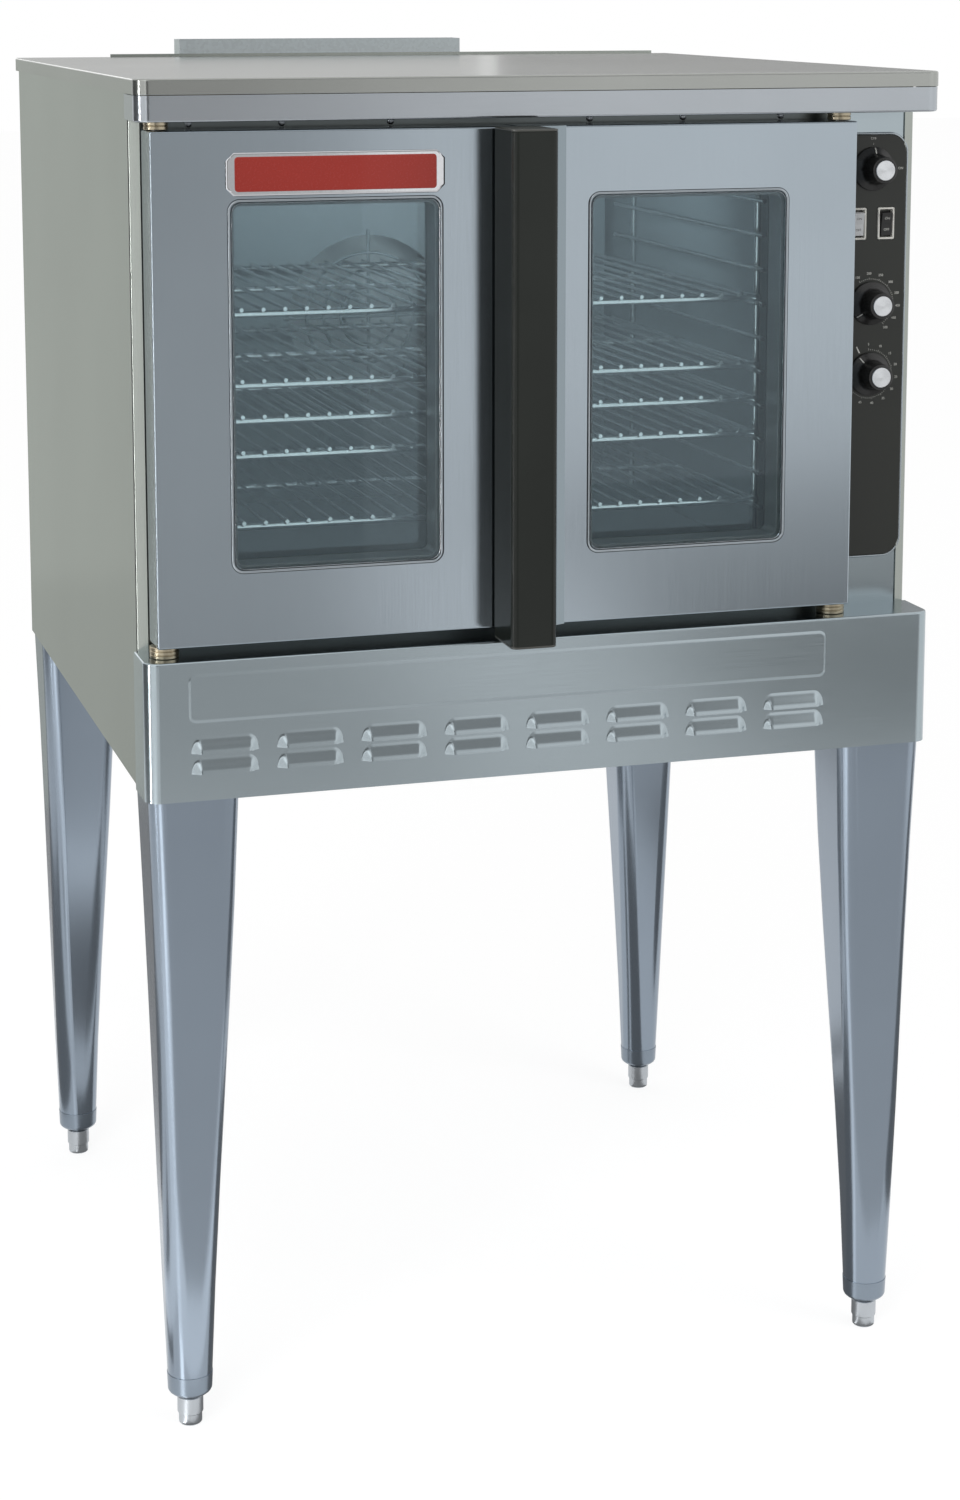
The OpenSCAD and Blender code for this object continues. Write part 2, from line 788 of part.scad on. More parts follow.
// Mineral wool round the cavity
module insulation() {
    y0 = face_y + sheet;
    left_x = -body_x + sheet;
    wool_top_z = trim_z + 10;
    back_t = 48;
    shaft_hole_r = 24;
    color("khaki") {
        block([left_x, y0, cavity_low_z], [cavity_left - sheet, liner_back_y, cavity_top_z]);
        block([cavity_right + sheet, y0, cavity_low_z], [control_split_x, liner_back_y, cavity_top_z]);
        block([left_x, y0, cavity_top_z + sheet], [control_split_x, liner_back_y, wool_top_z]);
        translate([0, liner_back_y + sheet, 0]) difference() {
            block([cavity_left, 0, cavity_low_z], [cavity_right, back_t, cavity_top_z]);
            cylinder_y(door_mid_x, -1, cavity_z, shaft_hole_r, back_t + 2);
        }
    }
}

// Doors; side is -1 for the left one and 1 for the right one

function door_x(side) = door_mid_x + side * (door_seam / 2 + door_w / 2);
function pivot_x(side) = side < 0 ? left_pivot_x : right_pivot_x;

// Outer pan of a door: front sheet with the window hole, and four walls
module door_skin(side) {
    x = door_x(side);
    half = door_w / 2;
    depth = door_t - sheet;
    color("lightsteelblue") difference() {
        block([x - half, door_y, door_low_z], [x + half, door_y + depth, door_top_z]);
        block([x - half + skin, door_y + skin, door_low_z + skin], [x + half - skin, door_back_y + 1, door_top_z - skin]);
        upright_plate(x, door_y - 1, window_z, open_w, open_h, open_r, skin + 2);
        translate([pivot_x(side), pivot_y, door_low_z - 1]) cylinder(r = pin_r + run_fit, h = door_h + 2);
    }
}

// Inner sheet of a door, with the tunnel that holds the two panes apart
module door_liner(side) {
    x = door_x(side);
    half = door_w / 2;
    back = door_back_y - sheet;
    color("slategray") {
        difference() {
            block([x - half, back, door_low_z], [x + half, door_back_y, door_top_z]);
            upright_plate(x, back - 1, window_z, sight_w, sight_h, sight_r, sheet + 2);
        }
        upright_frame(x, door_y + skin, window_z, pane_w + 2 * tunnel_wall, pane_h + 2 * tunnel_wall, window_r,
                      pane_w + 0.6, pane_h + 0.6, open_r, door_t - skin - sheet);
        upright_frame(x, door_y + skin + glass_t + 0.3, window_z, pane_w + 2, pane_h + 2, open_r + 1,
                      sight_w, sight_h, sight_r, door_t - skin - sheet - 2 * glass_t - 0.6);
    }
}

// Bright frame on the front of a window
module window_trim(side) {
    color("whitesmoke") {
        upright_frame(door_x(side), door_y - 3, window_z, window_w, window_h, window_r, sight_w, sight_h, sight_r, 3);
        upright_frame(door_x(side), door_y - 1, window_z, open_w - 0.6, open_h - 0.6, open_r, sight_w, sight_h, sight_r, 1 + skin - 0.2);
    }
}

// Outer and inner pane
module window_glass(side) {
    color([0.5, 0.6, 0.62, 0.4]) {
        upright_plate(door_x(side), door_y + skin, window_z, pane_w, pane_h, open_r, glass_t);
        upright_plate(door_x(side), door_back_y - sheet - glass_t, window_z, pane_w, pane_h, open_r, glass_t);
    }
}

// One toothed wheel of the door drive
module sprocket() {
    tooth = 360 / sprocket_teeth;
    linear_extrude(sprocket_t) {
        circle(sprocket_r - 2);
        for (n = [0:sprocket_teeth - 1])
            rotate(n * tooth)
                polygon([[sprocket_r - 3, -2.4], [sprocket_r + 2, -0.9], [sprocket_r + 2, 0.9], [sprocket_r - 3, 2.4]]);
    }
}

// Top pin, and the lower shaft with its two sprockets, held by blocks in the door's corners
module door_pins(side) {
    reach = 8;
    block_h = 30;
    block_half = 14;
    boss_r = 11;
    edge_x = pivot_inset - skin;
    color("gray") translate([pivot_x(side), pivot_y, 0]) {
        for (z = [door_low_z + skin, door_top_z - skin - block_h])
            mirror([side < 0 ? 1 : 0, 0, 0])
                block([-block_half, -block_half, z], [edge_x, block_half, z + block_h]);
        translate([0, 0, door_top_z - block_h]) cylinder(r = pin_r, h = block_h + door_gap_top + reach);
        translate([0, 0, drive_low_z - reach]) cylinder(r = pin_r, h = door_low_z + block_h - drive_low_z + reach);
        for (step = [0, 1])
            translate([0, 0, drive_low_z + step * drive_step - sprocket_t / 2]) sprocket();
        translate([0, 0, drive_low_z]) cylinder(r = boss_r, h = drive_step);
    }
}

module left_door_skin() door_skin(-1);
module left_door_liner() door_liner(-1);
module left_window_trim() window_trim(-1);
module left_window_glass() window_glass(-1);
module left_door_pins() door_pins(-1);
module right_door_skin() door_skin(1);
module right_door_liner() door_liner(1);
module right_window_trim() window_trim(1);
module right_window_glass() window_glass(1);
module right_door_pins() door_pins(1);

// Bare enamelled plate above the left window
module door_plate() {
    w = 254;
    h = 49;
    color("firebrick")
        upright_plate(door_x(-1), door_y - 3, door_top_z - 49, w, h, 6, 3);
}

// Bevelled strip on the right door that laps over the left one
module door_astragal() {
    seam_x = door_mid_x + door_seam / 2;
    color("lightsteelblue") translate([0, 0, door_low_z]) linear_extrude(door_h) polygon([
        [strip_right, door_y],
        [strip_right - strip_bevel, door_y - strip_t],
        [strip_left, door_y - strip_t],
        [strip_left, door_y - strip_lap],
        [seam_x, door_y - strip_lap],
        [seam_x, door_y]
    ]);
}

// Plan of the handle, or of its hollow when inset by the wall: round front corners, flat on the strip
module handle_outline(inset) {
    front_y = door_y - handle_out + inset;
    rear_y = door_y - strip_t + (inset > 0 ? 1 : 0);
    translate([door_mid_x, 0]) front_outline(handle_w - 2 * inset, front_y, rear_y, handle_r - inset);
}

// Tall channel over the seam
module door_handle() {
    z0 = door_low_z - handle_drop + handle_cap;
    z1 = door_top_z - handle_cap;
    color([0.17, 0.16, 0.13]) translate([0, 0, z0]) linear_extrude(z1 - z0) difference() {
        handle_outline(0);
        handle_outline(handle_wall);
    }
}

// End caps of the handle
module handle_caps() {
    color("dimgray") for (z = [door_low_z - handle_drop, door_top_z - handle_cap])
        translate([0, 0, z]) linear_extrude(handle_cap) handle_outline(0);
}

// Controls

// Knob: skirt, tapered grip and front cap on a round shaft
module knob(z) {
    skirt_r = knob_d / 2;
    grip_r = 17;
    cap_r = 13;
    clear = 0.6;
    color([0.08, 0.08, 0.08]) translate([control_x, face_y - plate_t - clear, z]) rotate([90, 0, 0]) {
        rotate_extrude() polygon([
            [0, 0], [skirt_r, 0], [skirt_r, 2.5], [skirt_r - 2, 4], [grip_r + 2, 8],
            [grip_r, 14], [grip_r - 1, 34], [cap_r + 1, 35.5], [cap_r, 36.5], [0, 36.5]
        ]);
        translate([0, 0, -25]) cylinder(r = shaft_r, h = 26);
    }
}

module mode_knob() knob(knob_z[0]);
module thermostat_knob() knob(knob_z[1]);
module timer_knob() knob(knob_z[2]);

// Rocker: a shallow cylinder on its side, tipped to one end of its travel
module rocker(x) {
    w = switch_w - 8;
    h = switch_h - 11;
    crown_r = 40;
    front = 5;
    color([0.1, 0.1, 0.1]) translate([x, face_y - plate_t, switch_z]) rotate([rocker_tilt, 0, 0]) intersection() {
        block([-w / 2, -front, -h / 2], [w / 2, 8, h / 2]);
        translate([-w / 2, crown_r - front, 0]) rotate([0, 90, 0]) cylinder(r = crown_r, h = w, $fn = 96);
    }
}

module left_rocker() rocker(switch_x[0]);
module right_rocker() rocker(switch_x[1]);

// Racks

// Wire rack: outer rods, a middle rod and the wires laid over them
module rack(slot) {
    z = slot_z(slot);
    half = rack_w / 2;
    wires = floor((rack_w - 30) / wire_pitch);
    wire_z = z + rod_r + wire_r - 1;
    color("gainsboro") {
        for (y = [rack_y, rack_y + rack_d / 2, rack_y + rack_d])
            bar([door_mid_x - half, y, z], [door_mid_x + half, y, z], rod_r);
        for (side = [-1, 1]) {
            x = door_mid_x + side * (half - rod_r);
            bar([x, rack_y - rod_r, z], [x, rack_y + rack_d + rod_r, z], side_rod_r);
        }
        for (wire = [0:wires]) {
            x = door_mid_x + (wire - wires / 2) * wire_pitch;
            bar([x, rack_y - 7, wire_z], [x, rack_y + rack_d + 7, wire_z], wire_r);
        }
    }
}

module rack_1() rack(rack_slots[0]);
module rack_2() rack(rack_slots[1]);
module rack_3() rack(rack_slots[2]);
module rack_4() rack(rack_slots[3]);
module rack_5() rack(rack_slots[4]);

// Door drive

// Turnbuckle rod of the crossed chain; turn is -1 or 1, level is 0 or 1
module chain_rod(turn, level) {
    color("gray") translate([door_mid_x, pivot_y, drive_low_z + level * drive_step]) rotate(turn * drive_angle) {
        bar([-drive_rod_half, 0, 0], [drive_rod_half, 0, 0], drive_rod_r);
        translate([turn * 120, 0, 0]) rotate([0, 90, 0])
            cylinder(r = turnbuckle_r, h = turnbuckle_len, center = true, $fn = 6);
        for (end = [-1, 1])
            block([end * drive_rod_half - 9, -5, -2.5], [end * drive_rod_half + 9, 5, 2.5]);
    }
}

module chain_rod_front() chain_rod(1, 0);
module chain_rod_rear() chain_rod(-1, 1);

leg_front_left();
leg_front_right();
leg_rear_left();
leg_rear_right();
foot_front_left();
foot_front_right();
foot_rear_left();
foot_rear_right();
base_pan();
left_side_panel();
right_side_panel();
back_panel();
rear_cover();
top_cover();
flue_box();
top_trim();
lower_front_panel();
face_frame();
control_panel();
control_plate();
control_bodies();
hinge_bushes();
liner_left();
liner_right();
liner_top();
liner_bottom();
liner_back();
blower_baffle();
blower_wheel();
blower_motor();
rack_guides();
burner_tubes();
door_gasket();
insulation();
left_door_skin();
left_door_liner();
left_window_trim();
left_window_glass();
left_door_pins();
door_plate();
right_door_skin();
right_door_liner();
right_window_trim();
right_window_glass();
right_door_pins();
door_astragal();
door_handle();
handle_caps();
mode_knob();
thermostat_knob();
timer_knob();
left_rocker();
right_rocker();
rack_1();
rack_2();
rack_3();
rack_4();
rack_5();
chain_rod_front();
chain_rod_rear();
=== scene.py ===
# %% [markdown]
# # A convection oven on tall legs
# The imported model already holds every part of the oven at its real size: casing, doors, racks, blower and
# legs. This lesson gives it its looks. Sheet metal never has a razor edge, so the parts that you see first
# are modelled again with folded edges, and every other part keeps its shape and gets a finish.
# Sizes come from the loaded parts, so a new piece always lands where the old one was.

# %% Load the parts
import json
import math

import bmesh
import bpy
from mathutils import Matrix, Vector


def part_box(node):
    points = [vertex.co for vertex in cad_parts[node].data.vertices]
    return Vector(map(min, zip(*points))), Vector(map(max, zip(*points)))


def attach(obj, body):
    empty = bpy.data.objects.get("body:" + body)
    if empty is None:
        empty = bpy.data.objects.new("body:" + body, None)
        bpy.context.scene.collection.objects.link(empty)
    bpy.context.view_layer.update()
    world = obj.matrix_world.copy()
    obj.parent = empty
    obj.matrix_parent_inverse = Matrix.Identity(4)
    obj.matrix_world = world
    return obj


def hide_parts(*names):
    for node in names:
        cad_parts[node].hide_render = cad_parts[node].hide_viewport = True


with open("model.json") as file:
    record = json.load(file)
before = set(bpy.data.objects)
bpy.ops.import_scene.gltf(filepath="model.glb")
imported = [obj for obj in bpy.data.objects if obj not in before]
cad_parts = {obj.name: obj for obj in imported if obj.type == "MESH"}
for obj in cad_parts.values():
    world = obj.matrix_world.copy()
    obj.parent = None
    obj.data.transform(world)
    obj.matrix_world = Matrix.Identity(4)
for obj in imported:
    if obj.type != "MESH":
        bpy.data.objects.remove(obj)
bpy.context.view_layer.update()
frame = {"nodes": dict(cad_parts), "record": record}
MM = 0.001
print("parts loaded:", len(frame["nodes"]))

# %% [markdown]
# ## The camera
# The view is from the left of the front, a little above the lid. A longer lens keeps the two side edges
# almost upright. The lens is also shifted down, as on a view camera, so that the legs fit in the frame while
# the camera looks nearly level.

# %% Set up the camera
CAMERA_PLACE = (-1.045, -3.600, 1.702)
CAMERA_TURN = math.radians(16.89)
CAMERA_DIP = math.radians(8.63)
LENS = 69.15
SENSOR_W = 36
LENS_SHIFT = -0.22

bpy.ops.object.select_all(action="DESELECT")
bpy.ops.object.camera_add(
    location=CAMERA_PLACE,
    rotation=(math.pi / 2 - CAMERA_DIP, 0, -CAMERA_TURN),
)
camera = bpy.context.object
camera.data.lens = LENS
camera.data.sensor_width = SENSOR_W
camera.data.shift_y = LENS_SHIFT
bpy.context.scene.camera = camera
print("camera lens:", camera.data.lens, "mm")

# %% [markdown]
# ## A white room
# Steel is a mirror with a haze: what it shows is the room. The room here is white, so the world and the floor
# look white to the camera and to reflections, while the floor still takes a soft shadow. Both are made of
# nodes, so two small functions come first: one fills the inputs of a node, the other adds a node.

# %% Make the white room
FLOOR_SIZE = 60
FLOOR_GLOW = 0.8
FLOOR_SHADE = (0.3, 0.3, 0.3, 1)
WORLD_FILL = 0.62


def plug(tree, node, inputs):
    """Fills a node's inputs with numbers, colours or other nodes' outputs."""
    for name, value in inputs.items():
        if isinstance(value, bpy.types.NodeSocket):
            tree.links.new(value, node.inputs[name])
        else:
            node.inputs[name].default_value = value


def add_node(tree, kind, inputs, **settings):
    """Adds a shader node with its settings and its inputs."""
    node = tree.nodes.new(f"ShaderNode{kind}")
    for name, value in settings.items():
        setattr(node, name, value)
    plug(tree, node, inputs)
    return node


def bare_material(name):
    """Returns a material without any node, and its node tree."""
    material = bpy.data.materials.new(name)
    material.use_nodes = True
    material.node_tree.nodes.clear()
    return material, material.node_tree


def straight_rays(tree):
    """Returns a socket that is 1 for camera, glossy and transmission rays."""
    path = add_node(tree, "LightPath", {})
    total = path.outputs["Is Camera Ray"]
    for name in ("Is Glossy Ray", "Is Transmission Ray"):
        larger = add_node(tree, "Math", {0: total, 1: path.outputs[name]}, operation="MAXIMUM")
        total = larger.outputs[0]
    return total


def white_world():
    world = bpy.data.worlds.new("white_room")
    world.use_nodes = True
    tree = world.node_tree
    level = add_node(tree, "MapRange", {"Value": straight_rays(tree), "To Min": WORLD_FILL, "To Max": 1})
    glow = {"Color": (1, 1, 1, 1), "Strength": level.outputs["Result"]}
    plug(tree, tree.nodes["Background"], glow)
    bpy.context.scene.world = world


def floor_material():
    material, tree = bare_material("white_floor")
    shade = add_node(tree, "BsdfDiffuse", {"Color": FLOOR_SHADE})
    level = add_node(tree, "Math", {0: straight_rays(tree), 1: FLOOR_GLOW}, operation="MULTIPLY")
    glow = add_node(tree, "Emission", {"Strength": level.outputs[0]})
    both = add_node(tree, "AddShader", {0: shade.outputs[0], 1: glow.outputs[0]})
    add_node(tree, "OutputMaterial", {"Surface": both.outputs[0]})
    return material


white_world()
bpy.context.scene.view_settings.view_transform = "Standard"
bpy.ops.mesh.primitive_plane_add(size=FLOOR_SIZE)
floor = bpy.context.object
floor.name = "studio_floor"
floor.data.materials.append(floor_material())
print("floor:", floor.dimensions.x, "m square")

# %% [markdown]
# ## Lights and cards
# Two broad lights give the plain level. Mirrored in the steel they would burn out, so a dimmer card stands in
# for each of them in reflections. A narrow light at the left draws the thin bright lines along the folded
# corners, and a small lamp under the roof of the oven shows what is behind the glass. Grey cards and mats,
# which the camera doesn't see, give the sheets the slow change from pale to dark of a real studio.

# %% Hang the lights
BODY_MIDDLE = (0, 0, 1.2)
KEY_PLACE = (-2.4, -3.4, 3.4)
KEY_SIZE = 2.2
FILL_PLACE = (2.8, -2.8, 2.4)
FILL_SIZE = 2.0


def softbox(name, place, aim, width, height, watts):
    """Adds an area light that looks at a point."""
    bpy.ops.object.light_add(type="AREA", location=place)
    lamp = bpy.context.object
    lamp.name = name
    lamp.data.shape = "RECTANGLE"
    lamp.data.size = width
    lamp.data.size_y = height
    lamp.data.energy = watts
    look = Vector(aim) - Vector(place)
    lamp.rotation_euler = look.to_track_quat("-Z", "Y").to_euler()
    return lamp


key_light = softbox("key_light", KEY_PLACE, BODY_MIDDLE, KEY_SIZE, KEY_SIZE, 60)
fill_light = softbox("fill_light", FILL_PLACE, BODY_MIDDLE, FILL_SIZE, FILL_SIZE, 30)
edge_light = softbox("edge_light", (-2.6, -1.03, 1.3), (-0.48, -0.46, 1.2), 0.16, 2.6, 20)
edge_light.visible_diffuse = False
roof_low, roof_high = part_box("liner_top")
roof_x = (roof_low.x + roof_high.x) / 2
lamp_place = (roof_x, -0.2, roof_low.z - 20 * MM)
oven_lamp = softbox("oven_lamp", lamp_place, (roof_x, 0.3, 1.35), 0.4, 0.1, 3.6)
for lamp in (key_light, fill_light, oven_lamp):
    lamp.visible_glossy = False

# %% Stand up the cards and lay the mats
GREENISH = (0.95, 1, 0.94)
MAT_Z = 0.002


def grey_card(name, place, aim, width, height, grey, tint=(1, 1, 1)):
    """Adds a card that only reflections see; one that aims straight up lies flat."""
    bpy.ops.mesh.primitive_plane_add(size=1, location=place)
    card = bpy.context.object
    card.name = name
    card.scale = (width, height, 1)
    look = Vector(aim) - Vector(place)
    if look.x or look.y:
        card.rotation_euler = look.to_track_quat("Z", "Y").to_euler()
    material, tree = bare_material(name)
    glow = add_node(tree, "Emission", {"Color": (*tint, 1), "Strength": grey})
    add_node(tree, "OutputMaterial", {"Surface": glow.outputs[0]})
    card.data.materials.append(material)
    card.visible_camera = False
    card.visible_diffuse = False
    card.visible_shadow = False
    card.visible_transmission = False
    return card


CARDS = {
    "key_card": (KEY_PLACE, BODY_MIDDLE, KEY_SIZE, KEY_SIZE, 1.7),
    "fill_card": (FILL_PLACE, BODY_MIDDLE, FILL_SIZE, FILL_SIZE, 1.15),
    "front_card": ((0.15, -4.6, 1.1), (0.15, -0.4, 1.1), 1.4, 3.4, 0.55),
    "camera_card": ((-1.42, -4.6, 1.3), (-1.42, -0.4, 1.3), 1.35, 3.4, 0.12),
    "return_card": ((-2.35, -4.6, 1.1), (-0.48, -0.4, 1.1), 0.5, 3.0, 1.7),
    "ceiling_card": ((1.1, -3.7, 3.1), (0, -0.5, 0.9), 3.4, 1.6, 0.36),
    "left_card": ((-2.8, 0.3, 1.2), (0, 0.3, 1.2), 3.8, 3.0, 0.14),
    "side_card": ((-1.3, 4.6, 0.6), (-0.5, 0, 1.2), 2.4, 2.2, 0.56, GREENISH),
    "rim_card": ((-1.1, 4.6, 2.5), (-0.5, 0, 1.6), 0.9, 0.6, 2.4),
    "back_left_card": ((0.4, 4.2, 1.8), (0, 0, 1.6), 1.8, 1.6, 0.62),
    "back_right_card": ((2.9, 4.0, 1.8), (0, 0, 1.6), 3.2, 1.6, 0.34),
}
for name, card in CARDS.items():
    grey_card(name, *card)

FLOOR_MATS = {
    "front_mat": (0.3, -1.9, 3.4, 2.4, 0.75),
    "left_mat": (-1.1, 0.9, 1.0, 2.6, 0.3),
    "side_mat": (-1.3, 3.4, 2.4, 2.4, 0.5, GREENISH),
    "near_mat": (0.1, -3.85, 1.4, 1.5, 0.46),
    # The dark mat under the oven is painted shade for reflections: the floor there lies in the oven's shadow.
    "under_shade_mat": (0, 0, 0.9, 0.86, 0.24),
    "right_mat": (1.9, -0.2, 2.2, 1.0, 0.25),
    "corner_mat": (2.6, -3.7, 2.4, 1.2, 0.14),
    "far_mat": (2.8, -5.4, 2.4, 2.2, 0.42),
}
for name, (x, y, *mat) in FLOOR_MATS.items():
    grey_card(name, (x, y, MAT_Z), (x, y, 1), *mat)
print("cards and mats:", len(CARDS) + len(FLOOR_MATS))

# %% [markdown]
# ## A bright line on each leg
# A round corner mirrors a wide sweep of the room and squeezes it into a narrow strip. A bright triangle on
# the floor, with its tip at the foot, therefore shows as one thin line from the foot to the top of the leg.
# Each triangle has a turn in degrees, a width and a glow.

# %% Lay a bright fan in front of each leg
FAN_LENGTH = 2.4
LEG_FANS = {
    "front_left": (44, 0.7, 2.8),
    "front_right": (74, 0.6, 1.5),
    "rear_left": (22, 0.5, 1.4),
    "rear_right": (70, 0.5, 1.0),
}


def bright_fan(corner, turn, width, glow):
    """A flat triangle with its tip at a foot, turned to the left of the front."""
    low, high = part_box(f"foot_{corner}")
    tip = ((low.x + high.x) / 2, (low.y + high.y) / 2)
    fan = grey_card(f"{corner}_fan", (*tip, 2 * MAT_Z), (*tip, 1), width, FAN_LENGTH, glow)
    bpy.ops.object.mode_set(mode="EDIT")
    bpy.ops.mesh.select_all(action="SELECT")
    bpy.ops.transform.translate(value=(0, -FAN_LENGTH / 2, 0))
    mesh = bmesh.from_edit_mesh(fan.data)
    tip_points = [point for point in mesh.verts if point.co.y > -0.1]
    bmesh.ops.pointmerge(mesh, verts=tip_points, merge_co=(0, 0, 0))
    bmesh.update_edit_mesh(fan.data)
    bpy.ops.object.mode_set(mode="OBJECT")
    fan.rotation_euler.z = math.radians(-turn)


for corner, fan in LEG_FANS.items():
    bright_fan(corner, *fan)
print("fans:", len(LEG_FANS))

# %% [markdown]
# ## Steel
# Stainless sheet is brushed: thousands of fine scratches run one way and blur the reflection across them. A
# noise texture stretched along the grain gives those scratches. It drives the roughness and a very low bump,
# and a second, broad noise makes the tone drift a little over a sheet, as rolled steel does.

# %% Noise, tone and bump
EVEN = (1, 1, 1)
NOISE_LOW = 0.3
NOISE_HIGH = 0.7


def new_material(name):
    """Returns a material, its node tree and its principled shader."""
    material = bpy.data.materials.new(name)
    material.use_nodes = True
    return material, material.node_tree, material.node_tree.nodes["Principled BSDF"]


def own_place(tree):
    """Coordinates that stay with the piece."""
    return add_node(tree, "TexCoord", {}).outputs["Object"]


def noise(tree, stretch, scale, detail):
    """Returns the output of a noise texture on object coordinates, stretched along the axes."""
    mapping = add_node(tree, "Mapping", {"Vector": own_place(tree), "Scale": stretch})
    inputs = {"Vector": mapping.outputs["Vector"], "Scale": scale, "Detail": detail}
    return add_node(tree, "TexNoise", inputs).outputs["Fac"]


def spread(tree, value, low, high):
    """Maps the middle of a noise to a range of numbers."""
    inputs = {"Value": value, "From Min": NOISE_LOW, "From Max": NOISE_HIGH, "To Min": low, "To Max": high}
    return add_node(tree, "MapRange", inputs).outputs["Result"]


def tone(tree, value, dark, pale):
    """Runs from one colour to another over the middle of a noise."""
    ramp = add_node(tree, "ValToRGB", {"Fac": value})
    first, last = ramp.color_ramp.elements
    first.position, last.position = NOISE_LOW, NOISE_HIGH
    first.color, last.color = (*dark, 1), (*pale, 1)
    return ramp.outputs["Color"]


def shifted(colour, share):
    return tuple(min(1, part * share) for part in colour)


def drifting(tree, value, colour, drift):
    """A colour that a noise makes darker and paler by a share."""
    return tone(tree, value, shifted(colour, 1 - drift), shifted(colour, 1 + drift))


def bump(tree, height, strength, depth):
    """Turns a height into a bump of a real depth."""
    inputs = {"Height": height, "Strength": strength, "Distance": depth}
    return add_node(tree, "Bump", inputs).outputs["Normal"]


print("node helpers ready")

# %% Brushed steel
GRAIN = {"X": (2, 320, 320), "Z": (320, 320, 2)}
ROUGHNESS_SPREAD = 0.025


def brushed_steel(name, colour, roughness, grain, drift=0.06, drift_scale=3.0):
    """Steel sheet with fine scratches along one axis and a slow drift of tone."""
    material, tree, shader = new_material(name)
    scratches = noise(tree, GRAIN[grain], 8, 3)
    clouds = noise(tree, EVEN, drift_scale, 4)
    look = {
        "Metallic": 1,
        "Base Color": drifting(tree, clouds, colour, drift),
        "Roughness": spread(tree, scratches, roughness - ROUGHNESS_SPREAD, roughness + ROUGHNESS_SPREAD),
        "Normal": bump(tree, scratches, 0.02, 0.1 * MM),
    }
    plug(tree, shader, look)
    return material


door_steel = brushed_steel("door_sheet", (0.38, 0.435, 0.48), 0.16, "Z", 0.04)
# The strip steel is darker than the doors: painted shade beside the handle.
shaded_strip_steel = brushed_steel("shaded_strip_sheet", (0.27, 0.32, 0.35), 0.2, "Z", 0.04)
bead_steel = brushed_steel("bead_steel", (0.38, 0.42, 0.45), 0.15, "Z", 0.03)
panel_steel = brushed_steel("panel_sheet", (0.39, 0.45, 0.48), 0.2, "X", 0.04)
casing_steel = brushed_steel("casing_sheet", (0.35, 0.375, 0.35), 0.2, "Z", 0.045, 4.0)
lid_steel = brushed_steel("lid_sheet", (0.37, 0.382, 0.364), 0.22, "X", 0.06)
trim_steel = brushed_steel("trim_sheet", (0.42, 0.45, 0.48), 0.22, "X", 0.05)
leg_steel = brushed_steel("leg_sheet", (0.272, 0.322, 0.382), 0.2, "Z", 0.05)
cap_steel = brushed_steel("cap_steel", (0.25, 0.296, 0.35), 0.3, "Z", 0.05)
foot_steel = brushed_steel("plain_steel", (0.5, 0.53, 0.56), 0.4, "X")
# The face steel is dark: painted shade in the gaps round the doors.
shaded_face_steel = brushed_steel("shaded_face_sheet", (0.17, 0.19, 0.19), 0.34, "X")
drive_steel = brushed_steel("shaft_steel", (0.4, 0.4, 0.39), 0.35, "X")
print("steels:", door_steel.name, panel_steel.name, casing_steel.name, lid_steel.name, leg_steel.name)

# %% [markdown]
# ## Other finishes
# Smooth parts still vary: enamel has an orange-peel ripple, moulded plastic a fine grain, plated wire a few
# dull spots. One function makes them all from a colour, a roughness and the size of the grain.

# %% Coated and moulded finishes


def grained(name, colour, roughness, metallic, grain, depth, drift=0.1, coat=0.0, specular=0.5):
    """A finish with a fine even grain and a small drift of tone."""
    material, tree, shader = new_material(name)
    specks = noise(tree, EVEN, grain, 3)
    clouds = noise(tree, EVEN, 6, 3)
    look = {
        "Metallic": metallic,
        "Coat Weight": coat,
        "Specular IOR Level": specular,
        "Base Color": drifting(tree, clouds, colour, drift),
        "Roughness": spread(tree, specks, roughness - 0.04, roughness + 0.05),
        "Normal": bump(tree, specks, 0.15, depth),
    }
    plug(tree, shader, look)
    return material


chrome = grained("polished_bead", (0.66, 0.67, 0.69), 0.1, 1, 300, 0.00001, 0.03)
plated_wire = grained("plated_wire", (0.72, 0.73, 0.73), 0.2, 1, 200, 0.00005, 0.08)
aluminium = grained("pressed_aluminium", (0.66, 0.67, 0.68), 0.32, 1, 250, 0.0001)
bronze = grained("bronze", (0.45, 0.395, 0.29), 0.3, 1, 900, 0.0001)
handle_black = grained("black_lacquer", (0.02, 0.023, 0.02), 0.17, 0, 700, 0.00001, specular=0.2)
cap_moulding = grained("cap_moulding", (0.07, 0.072, 0.065), 0.22, 0, 900, 0.00002)
control_black = grained("plate_lacquer", (0.010, 0.012, 0.009), 0.36, 0, 900, 0.00006)
knob_black = grained("black_moulding", (0.012, 0.012, 0.012), 0.3, 0, 900, 0.00005)
body_moulding = grained("grey_moulding", (0.16, 0.16, 0.15), 0.5, 0, 700, 0.0001)
pale_moulding = grained("pale_moulding", (0.72, 0.71, 0.66), 0.4, 0, 700, 0.00005, 0.04)
silver_moulding = grained("silver_moulding", (0.62, 0.63, 0.64), 0.35, 0, 700, 0.00005, 0.04)
red_enamel = grained("red_enamel", (0.36, 0.03, 0.02), 0.25, 0, 400, 0.00001, 0.05, 0.2, 0.3)
motor_paint = grained("grey_paint", (0.10, 0.11, 0.12), 0.45, 0, 500, 0.0002)
cast_iron = grained("burner_iron", (0.14, 0.135, 0.13), 0.65, 0.6, 350, 0.0006, 0.2)
dial_ink = grained("dial_ink", (0.62, 0.62, 0.58), 0.5, 0, 900, 0.00002, 0.03)
print("finishes:", len(bpy.data.materials))
